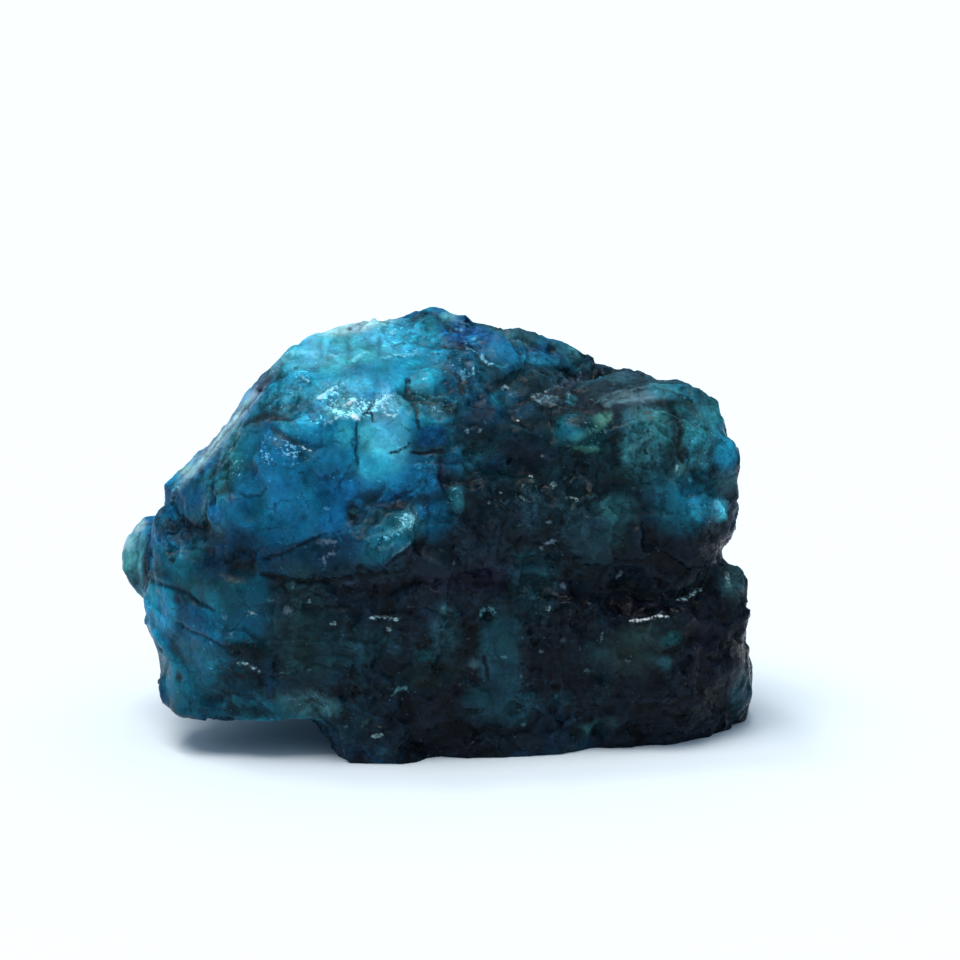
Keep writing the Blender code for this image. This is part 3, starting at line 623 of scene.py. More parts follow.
@dataclass(frozen=True)
class FrontView:
    """The camera that looks at the stone's front, slightly from above."""

    target: Triple = (2.8 * MM, 0.0, 16.5 * MM)
    distance: float = 178.0 * MM
    elevation: float = math.radians(12.0)
    lens: float = 100.0
    sensor: float = 36.0
    frame_side: int = 960
    clip: Span = (0.01, 20.0)
    middle: Pixel = (450.0, 545.0)
    search_steps: int = 40

    def back(self) -> Vector:
        """Gives the unit direction from the target to the camera."""
        return Vector((0.0, -math.cos(self.elevation), math.sin(self.elevation)))

    def up(self) -> Vector:
        """Gives the unit direction that points up in the view."""
        return Vector((0.0, math.sin(self.elevation), math.cos(self.elevation)))

    def eye(self) -> Vector:
        """Gives the camera's place."""
        return Vector(self.target) + self.back() * self.distance

    def pixels_per_slope(self) -> float:
        """Gives the pixels that a slope of one covers."""
        return self.lens / self.sensor * self.frame_side

    def direction(self, u: float, v: float) -> Vector:
        """Gives the direction of the line of sight through a view point.

        Args:
            u: Pixels from the frame's left edge.
            v: Pixels from the frame's top edge.

        Returns:
            The unit direction away from the camera.
        """
        half = self.frame_side / 2
        scale = self.pixels_per_slope()
        right = Vector((1.0, 0.0, 0.0)) * ((u - half) / scale)
        rise = self.up() * ((half - v) / scale)
        return (right + rise - self.back()).normalized()

    def hit(self, tree: BVHTree, u: float, v: float) -> tuple[Vector, float] | None:
        """Finds the surface point that shows at a view point.

        Args:
            tree: The surface that is looked at.
            u: Pixels from the frame's left edge.
            v: Pixels from the frame's top edge.

        Returns:
            The point and the size of one pixel there, or None off the stone.
        """
        place, _, _, far = tree.ray_cast(self.eye(), self.direction(u, v))
        if place is None:
            return None
        return place, far / self.pixels_per_slope()

    def nearest_hit(self, tree: BVHTree, u: float, v: float) -> tuple[Vector, float]:
        """Finds the surface point at a view point, or the closest one towards the middle.

        Args:
            tree: The surface that is looked at.
            u: Pixels from the frame's left edge.
            v: Pixels from the frame's top edge.

        Returns:
            The point and the size of one pixel there.
        """
        middle_u, middle_v = self.middle
        for step in range(self.search_steps):
            share = step / self.search_steps
            found = self.hit(tree, u + (middle_u - u) * share, v + (middle_v - v) * share)
            if found is not None:
                return found
        return Vector(self.target), self.distance / self.pixels_per_slope()

    def make_camera(self) -> bpy.types.Object:
        """Builds the camera and makes it the scene's own.

        Returns:
            The camera object.
        """
        data = bpy.data.cameras.new("front_camera")
        data.lens = self.lens
        data.sensor_width = self.sensor
        data.clip_start, data.clip_end = self.clip
        camera = bpy.data.objects.new("front_camera", data)
        bpy.context.scene.collection.objects.link(camera)
        camera.location = self.eye()
        camera.rotation_euler = (-self.back()).to_track_quat("-Z", "Y").to_euler()
        bpy.context.scene.camera = camera
        return camera


@dataclass(frozen=True)
class NoiseField:
    """A layered noise: its coarsest pitch, and how its points are stretched and moved."""

    cell: float
    layers: int
    shift: float = 0.0
    stretch: Triple = (1.0, 1.0, 1.0)


class LatticeNoise:
    """Smooth seeded noise on a cubic lattice, for whole arrays of points."""

    size: int = 256
    gain: float = 1.6
    layer_shift: Triple = (17.3, 41.7, 5.9)
    layer_fade: float = 1.8

    def __init__(self, seed: int) -> None:
        """Draws the lattice's slopes.

        Args:
            seed: The fixed seed.
        """
        rng = np.random.RandomState(seed)
        self.order = rng.permutation(self.size)
        slopes = rng.normal(size=(self.size, 3))
        self.slopes = slopes / np.linalg.norm(slopes, axis=1, keepdims=True)

    def at(self, points: np.ndarray, cell: float) -> np.ndarray:
        """Reads the noise, about -1 to 1.

        Args:
            points: Places, one row each, in metres.
            cell: The lattice's pitch in metres.

        Returns:
            One value a row.
        """
        spot = points / cell
        base = np.floor(spot).astype(np.int64)
        part = spot - base
        ease = part * part * part * (part * (part * 6.0 - 15.0) + 10.0)
        total = np.zeros(len(points))
        last = self.size - 1
        for corner in range(8):
            step = np.array([corner & 1, corner >> 1 & 1, corner >> 2 & 1])
            key = (base + step) & last
            slot = self.order[(self.order[(self.order[key[:, 0]] + key[:, 1]) & last] + key[:, 2]) & last]
            slope = (self.slopes[slot] * (part - step)).sum(axis=1)
            weight = np.where(step == 1, ease, 1.0 - ease).prod(axis=1)
            total += slope * weight
        return total * self.gain

    def read(self, points: np.ndarray, pattern: NoiseField) -> np.ndarray:
        """Reads a sum of ever finer noise.

        Args:
            points: Places, one row each, in metres.
            pattern: The noise's pitch, layers and stretch.

        Returns:
            One value a row.
        """
        places = points * np.array(pattern.stretch) + pattern.shift
        total = np.zeros(len(points))
        for layer in range(pattern.layers):
            shift = np.array(self.layer_shift) * layer * pattern.cell
            total += self.at(places + shift, pattern.cell / 2**layer) / self.layer_fade**layer
        return total


class NodeGraph:
    """Adds nodes to a tree and joins them, in few words."""

    def __init__(self, tree: bpy.types.NodeTree) -> None:
        """Keeps the tree.

        Args:
            tree: The tree that the nodes go into.
        """
        self.tree = tree

    def add(self, kind: str, inputs: dict | None = None, **settings: object) -> bpy.types.Node:
        """Adds one node.

        Args:
            kind: The node's type name.
            inputs: What goes into its sockets, by name or number: a socket or a value.
            settings: The node's own properties.

        Returns:
            The new node.
        """
        node = self.tree.nodes.new(kind)
        for name, value in settings.items():
            setattr(node, name, value)
        for key, value in (inputs or {}).items():
            if isinstance(value, bpy.types.NodeSocket):
                self.tree.links.new(value, node.inputs[key])
            else:
                node.inputs[key].default_value = value
        return node

    def calc(self, operation: str, *values: object) -> Socket:
        """Adds a Math node and gives its result."""
        return self.add("ShaderNodeMath", dict(enumerate(values)), operation=operation).outputs[0]

    def vector(self, operation: str, *values: object) -> Socket:
        """Adds a Vector Math node and gives its vector, or its value for a dot product."""
        node = self.add("ShaderNodeVectorMath", dict(enumerate(values)), operation=operation)
        return node.outputs["Value" if operation == "DOT_PRODUCT" else "Vector"]

    def scaled(self, vector: object, factor: object) -> Socket:
        """Adds a Vector Math node that multiplies a vector by a number."""
        return self.add("ShaderNodeVectorMath", {0: vector, "Scale": factor}, operation="SCALE").outputs[0]

    def centred(self, colour: Socket) -> Socket:
        """Moves the middle of a noise's colour to zero."""
        return self.vector("SUBTRACT", colour, (0.5, 0.5, 0.5))

    def blend(self, factor: object, first: object, second: object) -> Socket:
        """Adds a Mix node for colours as plain vectors and gives its result."""
        inputs = {"Factor": factor, "A": first, "B": second}
        return self.add("ShaderNodeMix", inputs, data_type="VECTOR").outputs[1]

    def noise(self, place: Socket, cell: float, detail: float = 2.0, roughness: float = 0.5,
              distortion: float = 0.0) -> bpy.types.bpy_prop_collection:
        """Adds a Noise Texture.

        Args:
            place: Where the pattern is read.
            cell: The pattern's pitch in metres.
            detail: How many finer layers it has.
            roughness: How strong the finer layers are.
            distortion: How far it is bent.

        Returns:
            The node's outputs, Fac and Color.
        """
        inputs = {"Vector": place, "Scale": 1.0 / cell, "Detail": detail, "Roughness": roughness,
                  "Distortion": distortion}
        return self.add("ShaderNodeTexNoise", inputs).outputs

    def ramp(self, value: Socket, low: float, high: float, to_low: float = 0.0,
             to_high: float = 1.0) -> Socket:
        """Adds a clamped, smooth Map Range and gives its result.

        Args:
            value: What is mapped.
            low: The value that gives to_low.
            high: The value that gives to_high.
            to_low: The result at the low end.
            to_high: The result at the high end.

        Returns:
            The mapped value's socket.
        """
        inputs = {"Value": value, "From Min": low, "From Max": high, "To Min": to_low, "To Max": to_high}
        return self.add("ShaderNodeMapRange", inputs, interpolation_type="SMOOTHSTEP").outputs["Result"]


@dataclass(frozen=True)
class BreakLevel:
    """One size of broken plane: its cells, how they tilt and how far they step."""

    name: str
    cell: float
    tilt: float
    step: float


@dataclass
class FractureRelief:
    """The node tree that breaks a smooth skin into fracture planes."""

    levels: tuple[BreakLevel, ...] = (
        BreakLevel("Block", 3.4 * MM, 0.10, 0.07 * MM),
        BreakLevel("Chip", 1.4 * MM, 0.12, 0.030 * MM),
        BreakLevel("Grain", 0.65 * MM, 0.12, 0.012 * MM),
    )
    warp: float = 0.5 * MM
    warp_cell: float = 1.6 * MM
    seed: float = 7.0
    step_key: Triple = (1.0, 1.7, -1.3)
    weight_name: str = "relief"

    def make_sockets(self, tree: bpy.types.NodeTree) -> None:
        """Gives the tree a named input for each size, and its output.

        Args:
            tree: The empty node group.
        """
        face = tree.interface
        face.new_socket("Geometry", in_out="INPUT", socket_type="NodeSocketGeometry")
        for level in self.levels:
            for part in ("cell", "tilt", "step"):
                face.new_socket(f"{level.name} {part}", in_out="INPUT", socket_type="NodeSocketFloat")
        for name in ("Warp", "Warp cell", "Seed"):
            face.new_socket(name, in_out="INPUT", socket_type="NodeSocketFloat")
        face.new_socket("Finish", in_out="INPUT", socket_type="NodeSocketMaterial")
        face.new_socket("Geometry", in_out="OUTPUT", socket_type="NodeSocketGeometry")

    def height(self, graph: NodeGraph, given: bpy.types.bpy_prop_collection) -> Socket:
        """Adds the planes' height, all sizes together.

        Args:
            graph: The tree's nodes.
            given: The tree's inputs.

        Returns:
            The height's socket, in metres.
        """
        place = graph.add("GeometryNodeInputPosition").outputs[0]
        seed_shift = graph.add("ShaderNodeCombineXYZ", dict.fromkeys(range(3), given["Seed"])).outputs[0]
        moved = graph.vector("ADD", place, seed_shift)
        per_metre = graph.calc("DIVIDE", 1.0, given["Warp cell"])
        wave = graph.add("ShaderNodeTexNoise", {"Vector": moved, "Scale": per_metre, "Detail": 2.0})
        shift = graph.scaled(graph.centred(wave.outputs["Color"]), given["Warp"])
        bent = graph.vector("ADD", moved, shift)
        height = None
        for level in self.levels:
            scale = graph.calc("DIVIDE", 1.0, given[f"{level.name} cell"])
            cells = graph.add("ShaderNodeTexVoronoi", {"Vector": bent, "Scale": scale}, feature="F1")
            lean = graph.centred(cells.outputs["Color"])
            across = graph.vector("SUBTRACT", bent, cells.outputs["Position"])
            slope = graph.vector("DOT_PRODUCT", across, lean)
            plane = graph.calc("MULTIPLY", slope, given[f"{level.name} tilt"])
            key = graph.vector("DOT_PRODUCT", lean, self.step_key)
            lift = graph.calc("MULTIPLY", key, given[f"{level.name} step"])
            both = graph.calc("ADD", plane, lift)
            height = both if height is None else graph.calc("ADD", height, both)
        return height

    def build(self) -> bpy.types.NodeTree:
        """Builds the tree.

        Returns:
            The node group.
        """
        tree = bpy.data.node_groups.new("fracture_relief", "GeometryNodeTree")
        self.make_sockets(tree)
        graph = NodeGraph(tree)
        given = graph.add("NodeGroupInput").outputs
        normal = graph.add("GeometryNodeInputNormal").outputs["Normal"]
        weight = graph.add("GeometryNodeInputNamedAttribute", {"Name": self.weight_name}, data_type="FLOAT")
        height = graph.calc("MULTIPLY", self.height(graph, given), weight.outputs["Attribute"])
        offset = graph.scaled(normal, height)
        moved = graph.add("GeometryNodeSetPosition", {"Geometry": given["Geometry"], "Offset": offset})
        real = graph.add("GeometryNodeRealizeInstances", {"Geometry": moved.outputs[0]})
        finished = {"Geometry": real.outputs[0], "Material": given["Finish"]}
        dressed = graph.add("GeometryNodeSetMaterial", finished)
        graph.add("NodeGroupOutput", {0: dressed.outputs[0]})
        return tree

    def settings(self, finish: bpy.types.Material) -> dict[str, object]:
        """Lists the tree's inputs by name.

        Args:
            finish: The stone's material.

        Returns:
            The value of each named input.
        """
        values: dict[str, object] = {
            "Warp": self.warp, "Warp cell": self.warp_cell, "Seed": self.seed, "Finish": finish}
        for level in self.levels:
            values[f"{level.name} cell"] = level.cell
            values[f"{level.name} tilt"] = level.tilt
            values[f"{level.name} step"] = level.step
        return values

    def apply(self, piece: bpy.types.Object, finish: bpy.types.Material) -> None:
        """Breaks the piece's skin and keeps the result as its plain mesh.

        Args:
            piece: The object with the weight attribute.
            finish: The stone's material.
        """
        tree = self.build()
        modifier = piece.modifiers.new("fracture_relief", "NODES")
        modifier.node_group = tree
        values = self.settings(finish)
        for item in tree.interface.items_tree:
            if item.item_type == "SOCKET" and item.in_out == "INPUT" and item.name in values:
                modifier[item.identifier] = values[item.name]
        bake_modifiers(piece)


def bake_modifiers(piece: bpy.types.Object) -> None:
    """Turns the evaluated object into its own plain mesh and removes its modifiers.

    Args:
        piece: The object that is baked.
    """
    bpy.context.view_layer.update()
    graph = bpy.context.evaluated_depsgraph_get()
    fresh = bpy.data.meshes.new_from_object(piece.evaluated_get(graph), depsgraph=graph)
    old = piece.data
    piece.modifiers.clear()
    piece.data = fresh
    fresh.name = piece.name
    bpy.data.meshes.remove(old)


class SkinArrays:
    """A mesh's points, edges and normals as arrays."""

    def __init__(self, mesh: bpy.types.Mesh) -> None:
        """Reads the mesh.

        Args:
            mesh: The mesh that is read and written.
        """
        self.mesh = mesh
        self.count = len(mesh.vertices)
        self.points = np.empty(self.count * 3)
        mesh.vertices.foreach_get("co", self.points)
        self.points = self.points.reshape(-1, 3)
        self.edges = np.empty(len(mesh.edges) * 2, np.int32)
        mesh.edges.foreach_get("vertices", self.edges)
        self.edges = self.edges.reshape(-1, 2)
        self.valence = np.maximum(np.bincount(self.edges.ravel(), minlength=self.count), 1)

    def normals(self) -> np.ndarray:
        """Reads the points' normals.

        Returns:
            Unit vectors, one row a point.
        """
        values = np.empty(self.count * 3, np.float32)
        self.mesh.vertex_normals.foreach_get("vector", values)
        return values.reshape(-1, 3).astype(float)

    def neighbour_mean(self, values: np.ndarray) -> np.ndarray:
        """Averages each point's neighbours.

        Args:
            values: One row a point.

        Returns:
            The neighbours' mean, one row a point.
        """
        first, second = self.edges[:, 0], self.edges[:, 1]
        columns = []
        for column in values.T:
            total = np.bincount(first, column[second], self.count)
            total += np.bincount(second, column[first], self.count)
            columns.append(total / self.valence)
        return np.stack(columns, 1)

    def smoothed(self, values: np.ndarray, rounds: int, share: float = 0.6, back: float = 0.0) -> np.ndarray:
        """Evens values out over the surface.

        Args:
            values: One row a point.
            rounds: How many passes.
            share: How far each pass goes towards the neighbours.
            back: How far each pass then goes away again, which keeps the size.

        Returns:
            The evened values.
        """
        result = values.copy()
        for _ in range(rounds):
            result += share * (self.neighbour_mean(result) - result)
            if back:
                result -= back * (self.neighbour_mean(result) - result)
        return result

    def write(self) -> None:
        """Puts the points back into the mesh."""
        self.mesh.vertices.foreach_set("co", self.points.astype(np.float32).ravel())
        self.mesh.update()

    def store(self, name: str, values: np.ndarray, kind: str = "FLOAT") -> None:
        """Keeps values on the mesh as a point attribute.

        Args:
            name: The attribute's name.
            values: One value or row a point.
            kind: The attribute's data type.
        """
        attribute = self.mesh.attributes.get(name) or self.mesh.attributes.new(name, kind, "POINT")
        key = {"FLOAT": "value", "FLOAT_COLOR": "color", "FLOAT_VECTOR": "vector"}[kind]
        attribute.data.foreach_set(key, values.astype(np.float32).ravel())


def smooth_step(values: np.ndarray) -> np.ndarray:
    """Eases values from 0 to 1 and holds them there."""
    held = np.clip(values, 0.0, 1.0)
    return held * held * (3.0 - 2.0 * held)


def waver(u: float, v: float, slow: Span, quick: Span, quick_share: float = 0.6) -> float:
    """Adds two waves over the view, so that a traced line isn't quite straight."""
    return math.sin(u * slow[0] + v * slow[1]) + quick_share * math.sin(u * quick[0] + v * quick[1])


@dataclass
class Marker:
    """Finds which points of a skin lie in an area or near a line of the front view.

    An area's edge wanders with two noises: fully where it is as large as full_size and as
    soft as full_edge, and less where it is smaller or sharper.
    """

    view: FrontView
    skin: SkinArrays
    tree: BVHTree
    noise: LatticeNoise
    coarse_cell: float = 3.2 * MM
    coarse_wander: float = 0.34 * MM
    fine_cell: float = 1.1 * MM
    fine_wander: float = 0.20 * MM
    depth_wander: float = 4.0
    noise_shifts: Triple = (0.031, 0.053, 0.071)
    full_size: float = 2.2 * MM
    full_edge: float = 0.4
    wander_range: Span = (0.2, 1.3)
    depth_share: float = 0.55
    least_depth: float = 2.4 * MM
    path_step: float = 1.5
    stray: float = 0.45
    waver_u: tuple[Span, Span] = ((0.71, 0.37), (-0.53, 1.27))
    waver_v: tuple[Span, Span] = ((-0.29, 0.83), (1.13, 0.61))
    end_width: float = 0.6
    end_length: float = 1.6
    swell: float = 0.25
    swell_steps: Span = (0.83, 0.31)
    swell_places: Span = (9000.0, 5000.0)
    reach: float = 0.45 * MM
    wandered: np.ndarray = field(init=False)
    index: KDTree = field(init=False)

    def __post_init__(self) -> None:
        """Prepares the wandering offsets and the point index."""
        points = self.skin.points
        shifts = np.diag(self.noise_shifts)
        coarse = np.stack([self.noise.at(points + s, self.coarse_cell) for s in shifts], 1)
        fine = np.stack([self.noise.at(points - s, self.fine_cell) for s in shifts], 1)
        self.wandered = coarse * self.coarse_wander + fine * self.fine_wander
        self.index = KDTree(self.skin.count)
        for number, point in enumerate(points):
            self.index.insert(point, number)
        self.index.balance()

    def area(self, area: Patch | Area) -> np.ndarray:
        """Weighs each point by how far inside an area it lies.

        Args:
            area: The patch or other area.

        Returns:
            Weights from 0 to 1, before the area's share.
        """
        centre, pixel = self.view.nearest_hit(self.tree, area.u, area.v)
        wide, high = area.wide * pixel, area.high * pixel
        least, most = self.wander_range
        ragged = min(max(min(wide, high) / self.full_size, least), most)
        ragged *= min(area.edge / self.full_edge, 1.0)
        offset = self.skin.points + self.wandered * ragged - np.array(centre)
        right = offset[:, 0]
        rise = offset @ np.array(self.view.up())
        deep = (offset + self.wandered * self.depth_wander) @ np.array(self.view.back())
        angle = math.radians(area.turn)
        along = right * math.cos(angle) + rise * math.sin(angle)
        across = rise * math.cos(angle) - right * math.sin(angle)
        depth = (wide + high) * self.depth_share + self.least_depth
        sides = (np.abs(along / wide), np.abs(across / high), np.abs(deep / depth))
        far = sum(side**area.corner for side in sides) ** (1.0 / area.corner)
        return smooth_step((1.0 + area.edge - far) / (2.0 * area.edge))

    def traced(self, path: tuple[Pixel, ...]) -> list[Vector]:
        """Lays a line of the front view on the surface.

        Args:
            path: The line's corners.

        Returns:
            Surface points a pixel or two apart, which stray a little from the corners' line.
        """
        found = []
        for (u0, v0), (u1, v1) in zip(path, path[1:]):
            steps = max(int(math.hypot(u1 - u0, v1 - v0) / self.path_step), 1)
            for step in range(steps):
                share = step / steps
                u, v = u0 + (u1 - u0) * share, v0 + (v1 - v0) * share
                stray_u = waver(u, v, *self.waver_u) * self.stray
                stray_v = waver(u, v, *self.waver_v) * self.stray
                hit = self.view.hit(self.tree, u + stray_u, v + stray_v)
                if hit is not None:
                    found.append(hit[0])
        return found

    def local_width(self, width: float, place: Vector, step: int, last: int) -> float:
        """Thins a line out at its ends, and swells and narrows it along its way.

        Args:
            width: The line's half width in metres.
            place: The point on the line.
            step: The point's number.
            last: The last point's number.

        Returns:
            The half width at the point.
        """
        end = min(step, last - step) / last * 2.0
        quick = math.sin(step * self.swell_steps[0] + place.x * self.swell_places[0])
        slow = math.sin(step * self.swell_steps[1] + place.z * self.swell_places[1])
        return width * min(self.end_width + end * self.end_length, 1.0) * (1.0 + self.swell * (quick * slow))

    def near(self, places: list[Vector], width: float, taper: bool) -> tuple[np.ndarray, np.ndarray]:
        """Measures how far inside a row of places the skin's points lie.

        Args:
            places: The row.
            width: The row's half width in metres.
            taper: Whether the row's width changes along its way.

        Returns:
            The points' numbers, and how far inside the row's edge they lie in metres, less than 0 outside.
        """
        deepest: dict[int, float] = {}
        last = max(len(places) - 1, 1)
        for step, place in enumerate(places):
            local = self.local_width(width, place, step, last) if taper else width
            for _, number, far in self.index.find_range(place, local + self.reach):
                inside = local - far
                if inside > deepest.get(number, -self.reach):
                    deepest[number] = inside
        numbers = np.fromiter(deepest.keys(), int, len(deepest))
        return numbers, np.fromiter(deepest.values(), float, len(deepest))

    def mark(self, form: Line | Pit) -> tuple[np.ndarray, np.ndarray]:
        """Measures how far inside a line or a pit the skin's points lie.

        Args:
            form: The line or pit.

        Returns:
            The points' numbers, and how far inside the form's edge they lie in metres, less than 0 outside.
        """
        if isinstance(form, Line):
            return self.near(self.traced(form.path), form.half_width * MM, True)
        centre, _ = self.view.nearest_hit(self.tree, form.u, form.v)
        return self.near([centre], form.radius * MM, False)


@dataclass(frozen=True)
class BerylFinish:
    """Glassy, slightly cloudy beryl with dirt in its cracks.

    A ramp gives two values of its pattern and then the results at them. A detail gives a
    noise's finer layers, their strength and how far the noise is bent. Its small bright chips
    and pale marks carry painted glints and highlights.
    """

    tint_name: str = "beryl_tint"
    form_name: str = "beryl_form"
    mark_name: str = "beryl_mark"
    # the clouds in the colour
    mottle_cell: float = 0.9 * MM
    mottle_detail: Triple = (4.0, 0.62, 0.6)
    mottle_ramp: Ramp = (0.3, 0.7, -0.48, 0.48)
    fine_cell: float = 0.22 * MM
    fine_detail: Triple = (3.0, 0.6, 0.0)
    fine_ramp: Ramp = (0.32, 0.68, -0.30, 0.30)
    cloud_least: float = 0.36
    cloud_grit: float = 0.60
    drift_cell: float = 1.1 * MM
    hue_swing: Triple = (0.5, 0.22, 0.22)
    # the small broken planes
    facet_cells: Span = (1.15 * MM, 0.42 * MM)
    facet_tilts: Span = (0.50, 0.45)
    facet_shades: Triple = (0.25, 0.20, 0.15)
    facet_least: float = 0.16
    facet_grit: float = 0.8
    facet_warp_cell: float = 0.7 * MM
    facet_warp: float = 0.55 * MM
    # the islands that specks and chips are made of
    island_distortion: float = 0.3
    island_bare: float = 0.72
    island_gain: float = 0.22
    island_start: Ramp = (0.0, 0.12, 0.0, 1.0)
    # the dirt and the hair cracks
    speck_cell: float = 0.8 * MM
    speck_place: Triple = (0.03, 0.01, 0.02)
    speck_cover: float = 0.30
    speck_soft: float = 0.12
    speck_share: float = 0.85
    dirt: Triple = (0.004, 0.007, 0.010)
    hair_cell: float = 3.4 * MM
    hair_warp_cell: float = 1.6 * MM
    hair_warp: float = 2.2 * MM
    hair_line: Ramp = (0.0, 0.030, 1.0, 0.0)
    hair_there: Ramp = (0.45, 0.62, 0.0, 0.6)
    # the small chips, in two sizes, which carry painted glints
    fleck_cells: Span = (0.50 * MM, 0.175 * MM)
    fleck_covers: Span = (0.85, 1.08)
    fleck_softs: Span = (0.07, 0.06)
    fleck_big_share: float = 0.8
    fleck_drift: Ramp = (0.38, 0.60, 0.5, 1.25)
    fleck_bend: float = 0.06 * MM
    fleck_turn: Triple = (0.0, -0.35, 0.0)
    fleck_stretch: Triple = (0.75, 0.8, 1.1)
    glint_gain: float = 2.2
    glint_glow: Triple = (0.21, 0.36, 0.40)
    glint_floor: Triple = (0.03, 0.05, 0.055)
    # the painted marks, whose pale ones are painted highlights and glints
    mark_ragged: Ramp = (0.3, 0.7, -0.04, 0.04)
    mark_edge: Ramp = (0.45, 0.56, 0.0, 1.0)
    mark_cover: Ramp = (0.36, 0.52, 0.65, 1.0)
    pale_weights: Triple = (0.3, 0.4, 0.3)
    pale_ramp: Ramp = (0.16, 0.34, 0.0, 1.0)
    grain_cell: float = 0.19 * MM
    grain_gaps: Ramp = (0.42, 0.56, 0.85, 0.0)
    # the surface
    wear_cell: float = 0.45 * MM
    bump_height: float = 0.035 * MM
    bump_strength: float = 0.8
    bump_parts: Triple = (0.6, 0.9, 0.5)
    roughness: Ramp = (0.35, 0.65, 0.20, 0.52)
    polish: float = 0.08
    refraction: float = 1.57
    mirror: float = 0.06
    cloud_weight: float = 0.25
    cloud_depth: float = 0.9 * MM
    cloud_reach: Triple = (0.4, 0.9, 1.0)

    def build(self) -> bpy.types.Material:
        """Builds the node material.

        Returns:
            The stone's material.
        """
        material = bpy.data.materials.new("beryl")
        material.use_nodes = True
        material.node_tree.nodes.clear()
        BerylNodes(material.node_tree, self).dress()
        return material


class BerylNodes(NodeGraph):
    """The beryl's nodes, where each method adds one layer of the finish."""

    def __init__(self, tree: bpy.types.NodeTree, look: BerylFinish) -> None:
        """Adds the inputs and noises that the layers share.

        Args:
            tree: The material's empty tree.
            look: The finish's settings.
        """
        super().__init__(tree)
        self.look = look
        self.place = self.add("ShaderNodeTexCoord").outputs["Object"]
        self.tint = self.add("ShaderNodeAttribute", attribute_name=look.tint_name).outputs["Color"]
        self.mark = self.add("ShaderNodeAttribute", attribute_name=look.mark_name).outputs
        form = self.add("ShaderNodeAttribute", attribute_name=look.form_name).outputs["Vector"]
        self.gloss, self.grit, self.spark = self.add("ShaderNodeSeparateXYZ", {0: form}).outputs
        self.mottle = self.noise(self.place, look.mottle_cell, *look.mottle_detail)["Fac"]
        self.fine = self.noise(self.place, look.fine_cell, *look.fine_detail)
        self.drift = self.noise(self.place, look.drift_cell)
        bend = self.scaled(self.centred(self.fine["Color"]), look.fleck_bend)
        self.strewn = self.add("ShaderNodeMapping", {
            "Vector": self.vector("ADD", self.place, bend), "Rotation": look.fleck_turn,
            "Scale": look.fleck_stretch}).outputs[0]

    def islands(self, place: Socket, cell: float, share: Socket, soft: float) -> Socket:
        """Adds a mask of small ragged islands.

        Args:
            place: Where the pattern is read.
            cell: The islands' rough size in metres.
            share: How much of the surface they cover, 0 for none and 1 for about half.
            soft: How soft their edges are.

        Returns:
            The mask's socket.
        """
        look = self.look
        noise = self.noise(place, cell, distortion=look.island_distortion)["Fac"]
        level = self.calc("SUBTRACT", look.island_bare, self.calc("MULTIPLY", share, look.island_gain))
        over = self.calc("SUBTRACT", noise, level)
        return self.calc("MULTIPLY", self.ramp(over, 0.0, soft), self.ramp(share, *look.island_start))

    def warped(self, cell: float, amount: float, detail: float) -> Socket:
        """Gives the place on the stone, bent by a noise.

        Args:
            cell: The noise's pitch in metres.
            amount: How far it bends, in metres.
            detail: How many finer layers the noise has.

        Returns:
            The bent place's socket.
        """
        shift = self.centred(self.noise(self.place, cell, detail)["Color"])
        return self.vector("ADD", self.place, self.scaled(shift, amount))

    def clouded(self) -> Socket:
        """Adds the painted colour with its clouds.

        Returns:
            The colour's socket.
        """
        look = self.look
        swing = self.calc("ADD", look.cloud_least, self.calc("MULTIPLY", self.grit, look.cloud_grit))
        wide = self.calc("MULTIPLY", self.ramp(self.mottle, *look.mottle_ramp), swing)
        small = self.calc("MULTIPLY", self.ramp(self.fine["Fac"], *look.fine_ramp), swing)
        lean = self.vector("MULTIPLY", self.centred(self.drift["Color"]), look.hue_swing)
        hued = self.vector("MULTIPLY", self.tint, self.vector("ADD", lean, (1.0, 1.0, 1.0)))
        return self.scaled(hued, self.calc("ADD", self.calc("ADD", wide, small), 1.0))

    def facets(self) -> tuple[Socket, Socket]:
        """Adds small broken planes, each with its own lean and shade.

        Returns:
            The lean that is added to the normal, and the shade that multiplies the colour.
        """
        look = self.look
        swing = self.calc("ADD", look.facet_least, self.calc("MULTIPLY", self.grit, look.facet_grit))
        bent = self.warped(look.facet_warp_cell, look.facet_warp, 2.0)
        leans, shades = [], []
        for cell, tilt in zip(look.facet_cells, look.facet_tilts):
            cells = self.add("ShaderNodeTexVoronoi", {"Vector": bent, "Scale": 1.0 / cell}, feature="F1")
            lean = self.centred(cells.outputs["Color"])
            leans.append(self.scaled(lean, tilt))
            shades.append(self.vector("DOT_PRODUCT", lean, look.facet_shades))
        strength = self.calc("MULTIPLY", swing, self.calc("ADD", *shades))
        return self.scaled(self.vector("ADD", *leans), swing), self.calc("ADD", 1.0, strength)

    def hairlines(self) -> Socket:
        """Adds thin broken dark lines.

        Returns:
            The shade that multiplies the colour.
        """
        look = self.look
        bent = self.warped(look.hair_warp_cell, look.hair_warp, 3.0)
        cells = {"Vector": bent, "Scale": 1.0 / look.hair_cell}
        edges = self.add("ShaderNodeTexVoronoi", cells, feature="DISTANCE_TO_EDGE")
        line = self.ramp(edges.outputs["Distance"], *look.hair_line)
        there = self.ramp(self.mottle, *look.hair_there)
        return self.calc("SUBTRACT", 1.0, self.calc("MULTIPLY", line, there))

    def soiled(self, colour: Socket) -> Socket:
        """Adds specks of dirt and hair cracks.

        Args:
            colour: The clean colour.

        Returns:
            The soiled colour's socket.
        """
        look = self.look
        spot = self.vector("ADD", self.place, look.speck_place)
        cover = self.calc("MULTIPLY", self.grit, look.speck_cover)
        specks = self.islands(spot, look.speck_cell, cover, look.speck_soft)
        dirty = self.blend(self.calc("MULTIPLY", specks, look.speck_share), colour, look.dirt)
        return self.scaled(dirty, self.hairlines())

